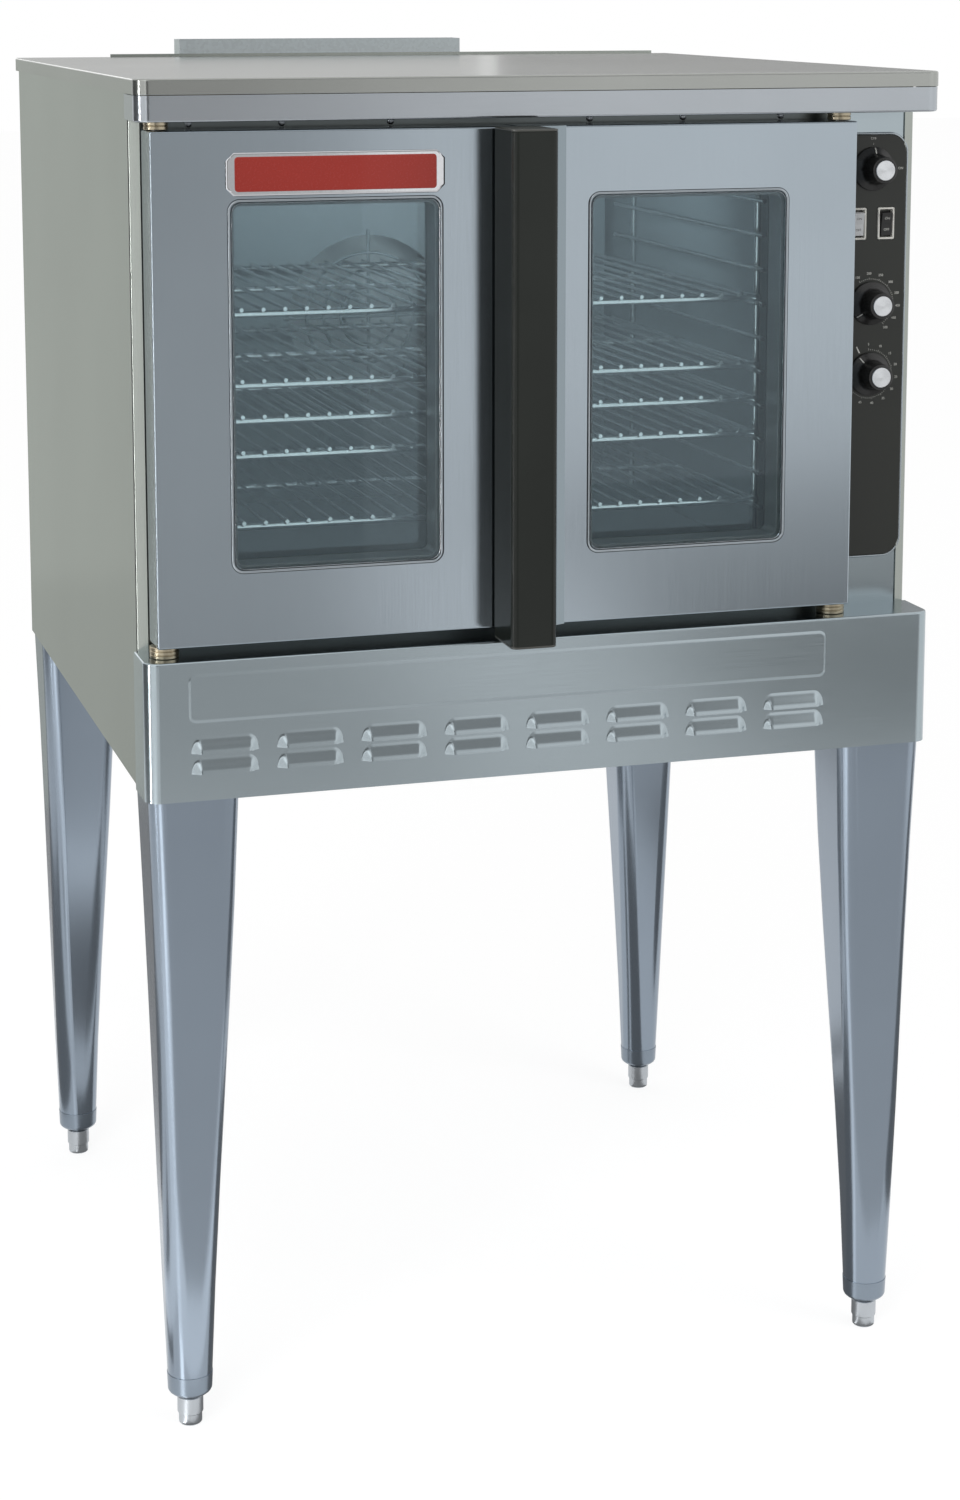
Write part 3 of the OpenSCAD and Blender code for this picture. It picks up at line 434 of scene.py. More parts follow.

# %% [markdown]
# ## Finishes with a pattern of their own
# Galvanised sheet shows the flat zinc crystals called spangle, which a Voronoi texture draws well. The gasket
# is a braid, so two crossing waves raise its strands. Mineral wool is felted fibre. The enamel inside gets
# painted shade: its colour is darker towards the bottom of the oven. Oven glass has a coating that sends heat
# back, so what it mirrors is a little blue. The caps of the knobs are spun on a lathe, and their rings draw
# each highlight out into a bright fan.

# %% Spangle, braid, enamel, glass and spun caps
STRAND_TURN = math.radians(40)


def galvanised(name, colour):
    material, tree, shader = new_material(name)
    crystals = add_node(tree, "TexVoronoi", {"Vector": own_place(tree), "Scale": 260})
    grey = add_node(tree, "RGBToBW", {0: crystals.outputs["Color"]}).outputs[0]
    look = {
        "Metallic": 1,
        "Base Color": drifting(tree, grey, colour, 0.05),
        "Roughness": spread(tree, grey, 0.3, 0.42),
    }
    plug(tree, shader, look)
    return material


def strands(tree, turn):
    """Waves across the front of a piece, turned round Y."""
    mapping = add_node(tree, "Mapping", {"Vector": own_place(tree), "Rotation": (0, turn, 0)})
    inputs = {"Vector": mapping.outputs["Vector"], "Scale": 120}
    return add_node(tree, "TexWave", inputs).outputs["Fac"]


def braided(name, colour):
    material, tree, shader = new_material(name)
    crossed = {0: strands(tree, STRAND_TURN), 1: strands(tree, -STRAND_TURN)}
    both = add_node(tree, "Math", crossed, operation="MAXIMUM").outputs[0]
    look = {
        "Base Color": tone(tree, both, shifted(colour, 0.6), shifted(colour, 1.2)),
        "Roughness": 0.9,
        "Normal": bump(tree, both, 0.6, 1 * MM),
    }
    plug(tree, shader, look)
    return material


def baked_enamel(name, dark, pale, low_z, high_z):
    """Enamel with painted shade: its colour runs from dark at the bottom of the oven to pale at the top."""
    material, tree, shader = new_material(name)
    place = add_node(tree, "SeparateXYZ", {"Vector": own_place(tree)})
    rise = {"Value": place.outputs["Z"], "From Min": low_z, "From Max": high_z}
    height = add_node(tree, "MapRange", rise).outputs["Result"]
    ripple = noise(tree, EVEN, 500, 3)
    look = {
        "Base Color": tone(tree, height, dark, pale),
        "Roughness": spread(tree, ripple, 0.3, 0.39),
        "Normal": bump(tree, ripple, 0.15, 0.1 * MM),
    }
    plug(tree, shader, look)
    return material


def clear_glass(name, colour):
    material, tree, shader = new_material(name)
    look = {
        "Base Color": (*colour, 1),
        "Transmission Weight": 1,
        "IOR": 1.46,
        "Specular Tint": (0.75, 0.9, 1, 1),
        "Roughness": spread(tree, noise(tree, EVEN, 12, 4), 0, 0.03),
    }
    plug(tree, shader, look)
    return material


def spun_metal(name, colour, roughness):
    """Metal turned round the Y axis: its fine rings stretch each highlight across them."""
    material, tree, shader = new_material(name)
    rings = add_node(tree, "Tangent", {}, direction_type="RADIAL", axis="Y")
    specks = noise(tree, EVEN, 900, 3)
    look = {
        "Metallic": 1,
        "Anisotropic": 0.9,
        "Tangent": rings.outputs["Tangent"],
        "Base Color": drifting(tree, specks, colour, 0.05),
        "Roughness": spread(tree, specks, roughness - 0.03, roughness + 0.03),
    }
    plug(tree, shader, look)
    return material


spangle = galvanised("zinc_sheet", (0.54, 0.59, 0.61))
braid = braided("glass_braid", (0.12, 0.12, 0.12))
# The enamel inside the oven has painted shade: it is darker towards the bottom.
liner_enamel = baked_enamel("grey_enamel", (0.06, 0.075, 0.075), (0.1, 0.125, 0.138), 0.95, 1.55)
wool = grained("felted_wool", (0.5, 0.42, 0.24), 0.95, 0, 300, 0.004, 0.25)
glass = clear_glass("clear_glass", (0.86, 0.93, 0.95))
spun_cap = spun_metal("spun_cap", (0.7, 0.72, 0.74), 0.3)
patterned = (spangle, braid, liner_enamel, wool, glass, spun_cap)
print("patterned finishes:", [finish.name for finish in patterned])

# %% [markdown]
# ## Dress the parts that keep their shape
# Most parts inside the oven are already right, so they only change their material.

# %% Give the parts their finishes
SIDES = ("left", "right")
CORNERS = ("front_left", "front_right", "rear_left", "rear_right")
KNOBS = ("mode_knob", "thermostat_knob", "timer_knob")
SWITCHES = ("left_rocker", "right_rocker")
RACKS = [f"rack_{number}" for number in range(1, 6)]
LINERS = [f"liner_{wall}" for wall in ("left", "right", "top", "bottom", "back")]


def dress(material, *names):
    """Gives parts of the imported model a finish."""
    for name in names:
        part = frame["nodes"][name]
        if not part.material_slots:
            part.data.materials.append(material)
        for place in part.material_slots:
            place.material = material


dress(casing_steel, "left_side_panel", "right_side_panel", "back_panel", "rear_cover")
dress(lid_steel, "top_cover")
dress(trim_steel, "top_trim")
dress(spangle, "flue_box", "base_pan")
dress(panel_steel, "lower_front_panel", "control_panel")
dress(door_steel, "left_door_skin", "right_door_skin")
# The strip between the doors gets the darker steel, which is painted shade beside the handle.
dress(shaded_strip_steel, "door_astragal")
# The face behind the doors is dark steel, which is painted shade in the gaps round the doors.
dress(shaded_face_steel, "face_frame")
dress(liner_enamel, "blower_baffle", "left_door_liner", "right_door_liner", *LINERS)
dress(plated_wire, "rack_guides", *RACKS)
dress(chrome, "left_window_trim", "right_window_trim")
dress(glass, "left_window_glass", "right_window_glass")
dress(leg_steel, *[f"leg_{corner}" for corner in CORNERS])
dress(foot_steel, *[f"foot_{corner}" for corner in CORNERS])
dress(drive_steel, "left_door_pins", "right_door_pins", "chain_rod_front", "chain_rod_rear")
dress(aluminium, "blower_wheel")
dress(motor_paint, "blower_motor")
dress(cast_iron, "burner_tubes")
dress(braid, "door_gasket")
dress(wool, "insulation")
dress(bronze, "hinge_bushes")
dress(handle_black, "door_handle")
dress(cap_moulding, "handle_caps")
dress(red_enamel, "door_plate")
dress(control_black, "control_plate")
dress(body_moulding, "control_bodies")
dress(knob_black, "right_rocker", *KNOBS)
dress(silver_moulding, "left_rocker")
print("parts dressed:", len(frame["nodes"]))

# %% [markdown]
# ## Bench tools
# Every new piece starts as a primitive and is then worked in edit mode, just as by hand. These helpers do the
# small moves that come back all the time: add a block between two corners, pick faces, edges or points by
# their place, cut holes, and round the shading off at the end. Faces are told apart by the way they look.

# %% Helpers that open a piece and pick from it
TOUCH = 0.05 * MM
DRILL_DEPTH = 12 * MM


def near(a, b):
    return abs(a - b) < TOUCH


def scaled(pairs):
    """Pairs of millimetres in metres."""
    return [(first * MM, second * MM) for first, second in pairs]


def middle_of(node):
    low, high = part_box(node)
    return (low + high) / 2


def choose(piece):
    """Makes one piece the only selected object."""
    bpy.ops.object.select_all(action="DESELECT")
    piece.select_set(True)
    bpy.context.view_layer.objects.active = piece


def start_edit(piece):
    choose(piece)
    bpy.ops.object.mode_set(mode="EDIT")


def edit_all(piece):
    """Opens a piece for editing with everything selected."""
    start_edit(piece)
    bpy.ops.mesh.select_all(action="SELECT")


def end_edit():
    bpy.ops.object.mode_set(mode="OBJECT")


def pick(mode, test):
    """Selects the faces, edges or points of the edited piece that pass a test."""
    bpy.ops.mesh.select_mode(type=mode)
    bpy.ops.mesh.select_all(action="DESELECT")
    mesh = bmesh.from_edit_mesh(bpy.context.edit_object.data)
    parts = {"FACE": mesh.faces, "EDGE": mesh.edges, "VERT": mesh.verts}[mode]
    for part in parts:
        if test(part):
            part.select_set(True)
    mesh.select_flush_mode()
    bmesh.update_edit_mesh(bpy.context.edit_object.data)


def pick_faces(test):
    """The test gets a face's middle and its normal."""
    pick("FACE", lambda face: test(face.calc_center_median(), face.normal))


def pick_edges(test):
    """The test gets an edge's middle and its direction."""
    pick("EDGE", lambda edge: test(*edge_line(edge)))


def edge_line(edge):
    first, last = (point.co for point in edge.verts)
    return (first + last) / 2, (last - first).normalized()


print("picking helpers ready")

# %% Helpers that add, cut and finish


def named(name):
    """Names the object just added and puts its place into its mesh."""
    piece = bpy.context.object
    piece.name = name
    bpy.ops.object.transform_apply(location=True, rotation=True, scale=True)
    return piece


def add_block(name, low, high):
    """A block between two corners, to be shaped."""
    bpy.ops.object.select_all(action="DESELECT")
    low, high = Vector(low), Vector(high)
    bpy.ops.mesh.primitive_cube_add(size=1, location=(low + high) / 2, scale=high - low)
    return named(name)


def add_plate(name, middle, width, height, corner_r, segments=8):
    """An upright plate outline that faces the front, with round corners."""
    bpy.ops.object.select_all(action="DESELECT")
    bpy.ops.mesh.primitive_plane_add(size=1, location=middle, rotation=(math.pi / 2, 0, 0))
    bpy.context.object.scale = (width, height, 1)
    piece = named(name)
    edit_all(piece)
    bpy.ops.mesh.bevel(offset=corner_r, segments=segments, affect="VERTICES")
    end_edit()
    return piece


def step_in(steps):
    """Insets the selected face again and again: each step is a width and a rise."""
    for width, rise in steps:
        bpy.ops.mesh.inset(thickness=width, depth=rise)


def bevel(offset, segments):
    """Rounds the selected edges."""
    bpy.ops.mesh.bevel(offset=offset, segments=segments, affect="EDGES")


def face_outwards():
    """Turns the normals of the whole piece outwards."""
    bpy.ops.mesh.select_all(action="SELECT")
    bpy.ops.mesh.normals_make_consistent(inside=False)


def pull_out(depth):
    """Extrudes the selected faces towards the front."""
    bpy.ops.mesh.extrude_region_move(TRANSFORM_OT_translate={"value": (0, -depth, 0)})


def turn_selected(axis, angle, middle):
    """Turns the selection by the right-hand rule; the operator itself counts the other way round."""
    bpy.ops.transform.rotate(
        value=-angle, orient_axis=axis, orient_type="GLOBAL", center_override=middle
    )


def apply_modifier(piece, kind, **settings):
    choose(piece)
    modifier = piece.modifiers.new(kind.lower(), kind)
    for name, value in settings.items():
        setattr(modifier, name, value)
    bpy.ops.object.modifier_apply(modifier=modifier.name)


def thicken(piece, wall):
    """Gives a sheet its wall, inwards from the outside."""
    apply_modifier(piece, "SOLIDIFY", thickness=wall, offset=-1)


def cut(piece, cutter):
    """Takes the cutter's shape out of a piece and throws the cutter away."""
    apply_modifier(piece, "BOOLEAN", operation="DIFFERENCE", object=cutter)
    bpy.data.objects.remove(cutter)


def cut_block(piece, low, high):
    cut(piece, add_block("cutter", low, high))


def drill(piece, middle, radius, turn=(0, 0, 0)):
    """Cuts one round hole."""
    bpy.ops.object.select_all(action="DESELECT")
    bpy.ops.mesh.primitive_cylinder_add(
        vertices=48, radius=radius, depth=DRILL_DEPTH, location=middle, rotation=turn
    )
    cut(piece, bpy.context.object)


def smooth(piece, angle=35):
    """Smooth shading that stays flat on the flat faces."""
    choose(piece)
    bpy.ops.object.shade_smooth_by_angle(angle=math.radians(angle))
    apply_modifier(piece, "WEIGHTED_NORMAL", keep_sharp=True)


def fit(piece, material, body, slot, *parts):
    """Gives a finished piece its material, its body and the parts that it stands for."""
    piece.data.materials.clear()
    piece.data.materials.append(material)
    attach(piece, body)
    if parts:
        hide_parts(*parts)
    print(piece.name, len(piece.data.polygons), "faces")


print("bench ready")

# %% [markdown]
# ## Lid and trim
# The lid is one sheet, folded down at the front and sides, and a band of trim hangs below it. A plain box
# would do for the outline, but the folds catch the light, so the upright corners are bevelled to their real
# radius and the rim to the radius of a press brake. The open sides are deleted and the sheet gets its wall.

# %% Fold the lid and the trim
CORNER_R = 18 * MM
FOLD_R = 2.5 * MM
SHEET = 1.6 * MM
RIM_R = 0.5 * MM
SEAM = 0.6 * MM
BUSH_HOLE_R = 9.2 * MM


def folded_band(name, low, high, fold_z, open_way):
    """Sheet folded round the front, with a folded rim at fold_z; the back and one level side are open."""
    piece = add_block(name, low, high)
    start_edit(piece)
    pick_edges(lambda middle, way: abs(way.z) > 0.9 and near(middle.y, low[1]))
    bevel(CORNER_R, 10)
    pick_faces(lambda middle, normal: normal.y > 0.9 or normal.z * open_way > 0.9)
    bpy.ops.mesh.delete(type="FACE")
    pick_edges(lambda middle, way: near(middle.z, fold_z) and not near(middle.y, high[1]))
    bevel(FOLD_R, 4)
    end_edit()
    return piece


lid_low, lid_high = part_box("top_cover")
lid = folded_band("lid", lid_low, lid_high, lid_high.z, -1)
thicken(lid, SHEET)
start_edit(lid)
pick_edges(lambda middle, way: near(middle.z, lid_low.z) and abs(way.z) < 0.1)
bevel(RIM_R, 2)
end_edit()
smooth(lid)
fit(lid, lid_steel, "oven_body", "casing_steel", "top_cover")

trim_low, trim_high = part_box("top_trim")
trim = folded_band(
    "trim_band",
    trim_low + Vector((SEAM, SEAM, 0)),
    trim_high - Vector((SEAM, 0, SEAM)),
    trim_low.z,
    1,
)
thicken(trim, SHEET)
hinges = {joint["name"]: joint.get("pos_m") for joint in frame["record"]["behaviour"]["joints"]}
hinge_x = (hinges["left_door_swing"][0], hinges["right_door_swing"][0])
hinge_y = hinges["left_door_swing"][1]
for x in hinge_x:
    drill(trim, (x, hinge_y, trim_low.z), BUSH_HOLE_R)
smooth(trim)
fit(trim, trim_steel, "oven_body", "casing_steel", "top_trim")

# %% [markdown]
# ## Lower front panel
# This panel is one pressed sheet: a ledge folded back at the top, a long raised field, and two rows of
# louvres that let air in to the burners. The slots are made by cutting the front with bisect and deleting
# faces. A louvre is a fine grid whose lower edge is pulled out with proportional editing, so that it leaves
# the sheet as softly as a pressed one. It is modelled once and copied.

# %% Fold the panel and cut its slots
LOUVRE_COLUMNS = 8
LOUVRE_ROWS = 2
LOUVRE_PITCH = 100 * MM
ROW_PITCH = 24 * MM
ROWS_DROP = 86 * MM
LOUVRE_W = 82 * MM
LOUVRE_H = 21 * MM
LOUVRE_OUT = 7 * MM
SLOT_W = 60 * MM
SLOT_DROP = 9 * MM

panel_low, panel_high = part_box("lower_front_panel")
panel_front = trim_low.y
door_mid_x = sum(hinge_x) / 2
panel_corner = (panel_low.x, panel_front, panel_low.z)
panel = folded_band("lower_panel", panel_corner, panel_high, panel_high.z, -1)
first_x = door_mid_x - (LOUVRE_COLUMNS - 1) / 2 * LOUVRE_PITCH
first_z = panel_high.z - ROWS_DROP
louvres = [
    (first_x + column * LOUVRE_PITCH, first_z - row * ROW_PITCH)
    for row in range(LOUVRE_ROWS)
    for column in range(LOUVRE_COLUMNS)
]


def cut_slots(piece, places):
    """Cuts a slot below each louvre's top in the front of a sheet."""
    slots = [(x - SLOT_W / 2, x + SLOT_W / 2, z - LOUVRE_H, z - SLOT_DROP) for x, z in places]
    cuts = {(1, x) for slot in slots for x in slot[:2]} | {(0, z) for slot in slots for z in slot[2:]}
    start_edit(piece)
    for upright, place in sorted(cuts):
        pick_faces(lambda middle, normal: normal.y < -0.9)
        point = (place, 0, 0) if upright else (0, 0, place)
        way = (1, 0, 0) if upright else (0, 0, 1)
        bpy.ops.mesh.bisect(plane_co=point, plane_no=way)
    pick_faces(
        lambda middle, normal: normal.y < -0.9
        and any(x0 < middle.x < x1 and z0 < middle.z < z1 for x0, x1, z0, z1 in slots)
    )
    bpy.ops.mesh.delete(type="FACE")
    end_edit()


cut_slots(panel, louvres)
thicken(panel, SHEET)
for x in hinge_x:
    drill(panel, (x, hinge_y, panel_high.z), BUSH_HOLE_R)
smooth(panel)
print("slots cut:", len(louvres))

# %% Press the louvres and the raised field
END_SHARE = 0.66
GRID_SHARE = 1.1
EMBOSS_W = 786 * MM
EMBOSS_H = 60 * MM
EMBOSS_DROP = 13 * MM
EMBOSS_R = 10 * MM
EMBOSS_STEPS = scaled([(1.4, 0.15), (1.4, 0.32), (1.4, 0.2), (1.4, 0.08)])
SUNK = 0.15 * MM
HOOD_SHEET = 1.2 * MM


def louvre_hood(name):
    """One louvre with its top middle at the origin.

    The grid is stretched while its lip is pulled, so that the ends come out rounder than the top.
    """
    end = LOUVRE_H * END_SHARE
    lip_half = (LOUVRE_W / 2 - end) / END_SHARE
    width = 2 * (lip_half + LOUVRE_H * GRID_SHARE)
    bpy.ops.object.select_all(action="DESELECT")
    bpy.ops.mesh.primitive_grid_add(
        x_subdivisions=72,
        y_subdivisions=14,
        size=1,
        location=(0, SUNK, -LOUVRE_H / 2 + SUNK),
        rotation=(math.pi / 2, 0, 0),
    )
    bpy.context.object.scale = (width, LOUVRE_H + 2 * SUNK, 1)
    hood = named(name)
    lip_z = min(point.co.z for point in hood.data.vertices)
    start_edit(hood)
    pick("VERT", lambda point: near(point.co.z, lip_z) and abs(point.co.x) < lip_half)
    bpy.ops.transform.translate(
        value=(0, -LOUVRE_OUT, 0),
        use_proportional_edit=True,
        proportional_edit_falloff="SMOOTH",
        proportional_size=LOUVRE_H,
    )
    bpy.ops.mesh.select_all(action="SELECT")
    bpy.ops.transform.resize(value=(END_SHARE, 1, 1), center_override=(0, 0, 0))
    end_edit()
    thicken(hood, HOOD_SHEET)
    smooth(hood, 50)
    return hood


def copy_of(piece, name, shift):
    """A copy with its own mesh, moved."""
    choose(piece)
    bpy.ops.object.duplicate(linked=False)
    bpy.context.object.location = shift
    return named(name)


def join(first, others):
    choose(first)
    for piece in others:
        piece.select_set(True)
    bpy.ops.object.join()
    return first


first_hood = louvre_hood("louvre_hood")
hoods = [copy_of(first_hood, "louvre_copy", (x, panel_front, z)) for x, z in louvres]
bpy.data.objects.remove(first_hood)
emboss = add_plate(
    "raised_field",
    (door_mid_x, panel_front + SUNK, panel_high.z - EMBOSS_DROP - EMBOSS_H / 2),
    EMBOSS_W,
    EMBOSS_H,
    EMBOSS_R,
)
edit_all(emboss)
step_in(EMBOSS_STEPS)
end_edit()
smooth(emboss, 60)
lower_panel = join(panel, [*hoods, emboss])
fit(lower_panel, panel_steel, "oven_body", "lower_panel_steel", "lower_front_panel")

# %% [markdown]
# ## Door skins
# Each door is a pan of brushed steel, bent at its four edges. The block's front edges are bevelled, the back
# is deleted and the sheet gets its wall. The window opening and the holes for the hinge pins are then cut.

# %% Make the two door skins
DOOR_SKIN = 2 * MM
PIN_R = 6.2 * MM
WINDOW_R = 14 * MM
BEAD_GAP = 0.6 * MM
CUTTER_REACH = 10 * MM


def window_cutter(low, high):
    """A block with round corners, a little larger than the window's bead."""
    size = high - low + Vector((2 * BEAD_GAP, 0, 2 * BEAD_GAP))
    cutter = add_plate("window_cutter", (low + high) / 2, size.x, size.z, WINDOW_R + BEAD_GAP)
    edit_all(cutter)
    pull_out(2 * CUTTER_REACH)
    bpy.ops.mesh.select_all(action="SELECT")
    bpy.ops.transform.translate(value=(0, CUTTER_REACH, 0))
    face_outwards()
    end_edit()
    return cutter


def door_skin(side, pin_x):
    low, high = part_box(f"{side}_door_skin")
    skin = add_block(f"{side}_door_front", low, high)
    start_edit(skin)
    pick_faces(lambda middle, normal: normal.y > 0.9)
    bpy.ops.mesh.delete(type="FACE")
    pick_edges(lambda middle, way: not near(middle.y, high.y))
    bevel(FOLD_R, 4)
    end_edit()
    thicken(skin, DOOR_SKIN)
    cut(skin, window_cutter(*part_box(f"{side}_window_trim")))
    for z in (low.z, high.z):
        drill(skin, (pin_x, hinge_y, z), PIN_R)
    smooth(skin)
    fit(skin, door_steel, f"{side}_door", "door_steel", f"{side}_door_skin")


for side, pin_x in zip(SIDES, hinge_x):
    door_skin(side, pin_x)

# %% [markdown]
# ## Window beads
# A soft roll of steel frames each window, and a thin bright lip inside it holds the glass; the groove between
# them reads as a dark line. One outline is inset again and again, each time with a small rise or fall, which
# draws the section. The middle face is deleted, and the two open rims are bridged at the back.

# %% Roll the window beads


def close_back():
    """Bridges the two open rims of a ring."""
    bpy.ops.mesh.select_mode(type="EDGE")
    bpy.ops.mesh.select_all(action="DESELECT")
    bpy.ops.mesh.select_non_manifold(
        use_wire=False, use_multi_face=False, use_non_contiguous=False, use_verts=False
    )
    bpy.ops.mesh.bridge_edge_loops()


def ring(name, middle, width, height, corner_r, steps, segments=8):
    """A frame whose section is drawn by steps of width and rise, from the outer edge to the inner one."""
    piece = add_plate(name, middle, width, height, corner_r, segments)
    edit_all(piece)
    step_in(steps)
    bpy.ops.mesh.delete(type="FACE")
    close_back()
    end_edit()
    return piece


ROLL_STEPS = scaled(
    [(0.05, 1.7), (0.4, 0.5), (0.7, 0.4), (0.8, 0.0), (0.7, -0.4), (0.4, -0.6), (0.2, -1.4)]
)
LIP_STEPS = scaled([(0.1, 2.0), (0.4, 0.4), (0.4, -0.4), (0.1, -2.0)])
BEAD_SUNK = 1.4 * MM
LIP_INSET = 3.8 * MM


def window_bead(side):
    low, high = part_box(f"{side}_window_trim")
    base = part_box(f"{side}_door_skin")[0].y + BEAD_SUNK
    middle = ((low.x + high.x) / 2, base, (low.z + high.z) / 2)
    width, height = high.x - low.x, high.z - low.z
    bead = ring(f"{side}_window_bead", middle, width, height, WINDOW_R, ROLL_STEPS)
    smooth(bead, 60)
    fit(bead, bead_steel, f"{side}_door", "window_bead", f"{side}_window_trim")
    lip = ring(
        f"{side}_window_lip",
        middle,
        width - 2 * LIP_INSET,
        height - 2 * LIP_INSET,
        WINDOW_R - LIP_INSET / 2,
        LIP_STEPS,
    )
    smooth(lip, 60)
    fit(lip, chrome, f"{side}_door", "window_bead")


for side in SIDES:
    window_bead(side)

# %% [markdown]
# ## Plate on the left door
# A bright plate with cut corners sits above the left window, and its red enamelled field is bare. The rim is
# an outline pulled out and stepped in, and the field is a low plate with small round corners.

# %% Make the bare plate
plate_low, plate_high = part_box("door_plate")
plate_middle = Vector(((plate_low.x + plate_high.x) / 2, plate_high.y, (plate_low.z + plate_high.z) / 2))
plate_w = plate_high.x - plate_low.x
plate_h = plate_high.z - plate_low.z
CUT_CORNER = 9 * MM
RIM_EDGE = 1 * MM
RIM_STEPS = scaled([(0.6, 0.8), (1.2, 0.6), (1.2, 0.1)])
FIELD_W = plate_w - 20 * MM
FIELD_H = plate_h - 10 * MM
FIELD_R = 4 * MM
FIELD_OUT = 2.4 * MM
FIELD_STEPS = scaled([(0.1, 0.25), (0.5, 0.15), (3, 0.1)])

rim = add_plate("plate_rim", plate_middle, plate_w, plate_h, CUT_CORNER, 1)
edit_all(rim)
pull_out(RIM_EDGE)
step_in(RIM_STEPS)
end_edit()
smooth(rim, 25)
fit(rim, chrome, "left_door", "window_bead", "door_plate")

field_middle = plate_middle - Vector((0, FIELD_OUT, 0))
field = add_plate("plate_field", field_middle, FIELD_W, FIELD_H, FIELD_R, 5)
edit_all(field)
step_in(FIELD_STEPS)
end_edit()
smooth(field, 60)
fit(field, red_enamel, "left_door", "plate_enamel")

# %% [markdown]
# ## Door handle
# The handle is a tall channel with round front corners, closed by a moulded cap at each end. Round corners
# are what the eye follows here: one thin line of light runs down the whole left corner.

# %% Make the handle and its caps
handle_low, handle_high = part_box("door_handle")
caps_low, caps_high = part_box("handle_caps")
HANDLE_R = 8 * MM
HANDLE_RIM = 0.3 * MM
CAP_RIM = 1.2 * MM


def round_front(piece, front, rim):
    """Rounds the two upright front edges of a block, then breaks its level rims."""
    start_edit(piece)
    pick_edges(lambda middle, way: abs(way.z) > 0.9 and near(middle.y, front))
    bevel(HANDLE_R, 8)
    pick_edges(lambda middle, way: abs(way.z) < 0.1)
    bevel(rim, 3)
    end_edit()
    smooth(piece, 40)


handle = add_block("handle_channel", handle_low, handle_high)
round_front(handle, handle_low.y, HANDLE_RIM)
fit(handle, handle_black, "right_door", "handle_black", "door_handle")

low_cap = add_block("handle_low_cap", caps_low, (caps_high.x, caps_high.y, handle_low.z))
round_front(low_cap, caps_low.y, CAP_RIM)
top_cap = add_block("handle_top_cap", (caps_low.x, caps_low.y, handle_high.z), caps_high)
round_front(top_cap, caps_low.y, CAP_RIM)
caps = join(low_cap, [top_cap])
caps.name = "handle_end_caps"
fit(caps, cap_moulding, "right_door", "handle_cap", "handle_caps")

# %% [markdown]
# ## Side panels
# A side panel is a flat sheet with a return at the front and one at the back. The front return leans a
# little and is the bright strip beside the doors. The panel starts as a block, loses the faces that a sheet
# lacks, the return is trimmed to its width by a bisect, and the folds get a true radius.

# %% Fold the two side panels
SIDE_FOLD_R = 3 * MM
FRONT_RETURN = 13 * MM
RETURN_BACK = 1.4 * MM
RETURN_OUT = 2.4 * MM


def side_panel(side, sign):
    low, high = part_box(f"{side}_side_panel")
    outer_x = low.x if sign < 0 else high.x
    trim_x = outer_x - sign * FRONT_RETURN
    piece = add_block(f"{side}_side_sheet", low, high)
    start_edit(piece)
    pick_faces(lambda middle, normal: abs(normal.z) > 0.9 or normal.x * sign < -0.9)
    bpy.ops.mesh.delete(type="FACE")
    pick_faces(lambda middle, normal: normal.y < -0.9)
    bpy.ops.mesh.bisect(plane_co=(trim_x, 0, 0), plane_no=(1, 0, 0))
    pick_faces(lambda middle, normal: normal.y < -0.9 and (middle.x - trim_x) * sign < 0)
    bpy.ops.mesh.delete(type="FACE")
    pick_edges(lambda middle, way: near(middle.x, outer_x) and near(middle.y, low.y))
    bpy.ops.transform.translate(value=(0, RETURN_BACK, 0))
    pick_edges(lambda middle, way: near(middle.x, trim_x) and near(middle.y, low.y))
    bpy.ops.transform.translate(value=(0, -RETURN_OUT, 0))
    pick_edges(lambda middle, way: near(middle.x, outer_x) and abs(way.z) > 0.9)
    bevel(SIDE_FOLD_R, 6)
    end_edit()
    thicken(piece, SHEET)
    smooth(piece)
    fit(piece, casing_steel, "oven_body", "casing_steel", f"{side}_side_panel")


side_panel("left", -1)
side_panel("right", 1)

# %% [markdown]
# ## Legs
# Each leg is a drawn steel taper: square with round corners at the top, round at the bottom. Two outlines
# with the same number of points, a bevelled plane and a circle, are bridged. That gives flat sides that
# narrow to nothing and corners that open out into the round end. A pressed cap closes the lower end.

# %% Bridge the legs
LEG_TOP = 106 * MM
LEG_TOP_R = 20 * MM
LEG_LOW_R = 26 * MM
LEG_SEGMENTS = 15
LEG_SHEET = 2 * MM
LEG_LEAN = 10 * MM
CAP_H = 20 * MM
CAP_STEP = 0.5 * MM
CAP_SHEET = 1.2 * MM
COLLAR_H = 10 * MM
CAP_DROPS = [(1.2, 0.99), (2, 0.96), (2.2, 0.9), (1.6, 0.82), (1.0, 0.8), (1.5, 0.97)]


def ring_down(steps, middle):
    """Extrudes the selected rim: each step is a drop in millimetres and a share of the rim's size."""
    for drop, share in steps:
        bpy.ops.mesh.extrude_edges_move(TRANSFORM_OT_translate={"value": (0, 0, -drop * MM)})
        bpy.ops.transform.resize(value=(share, share, 1), center_override=middle)


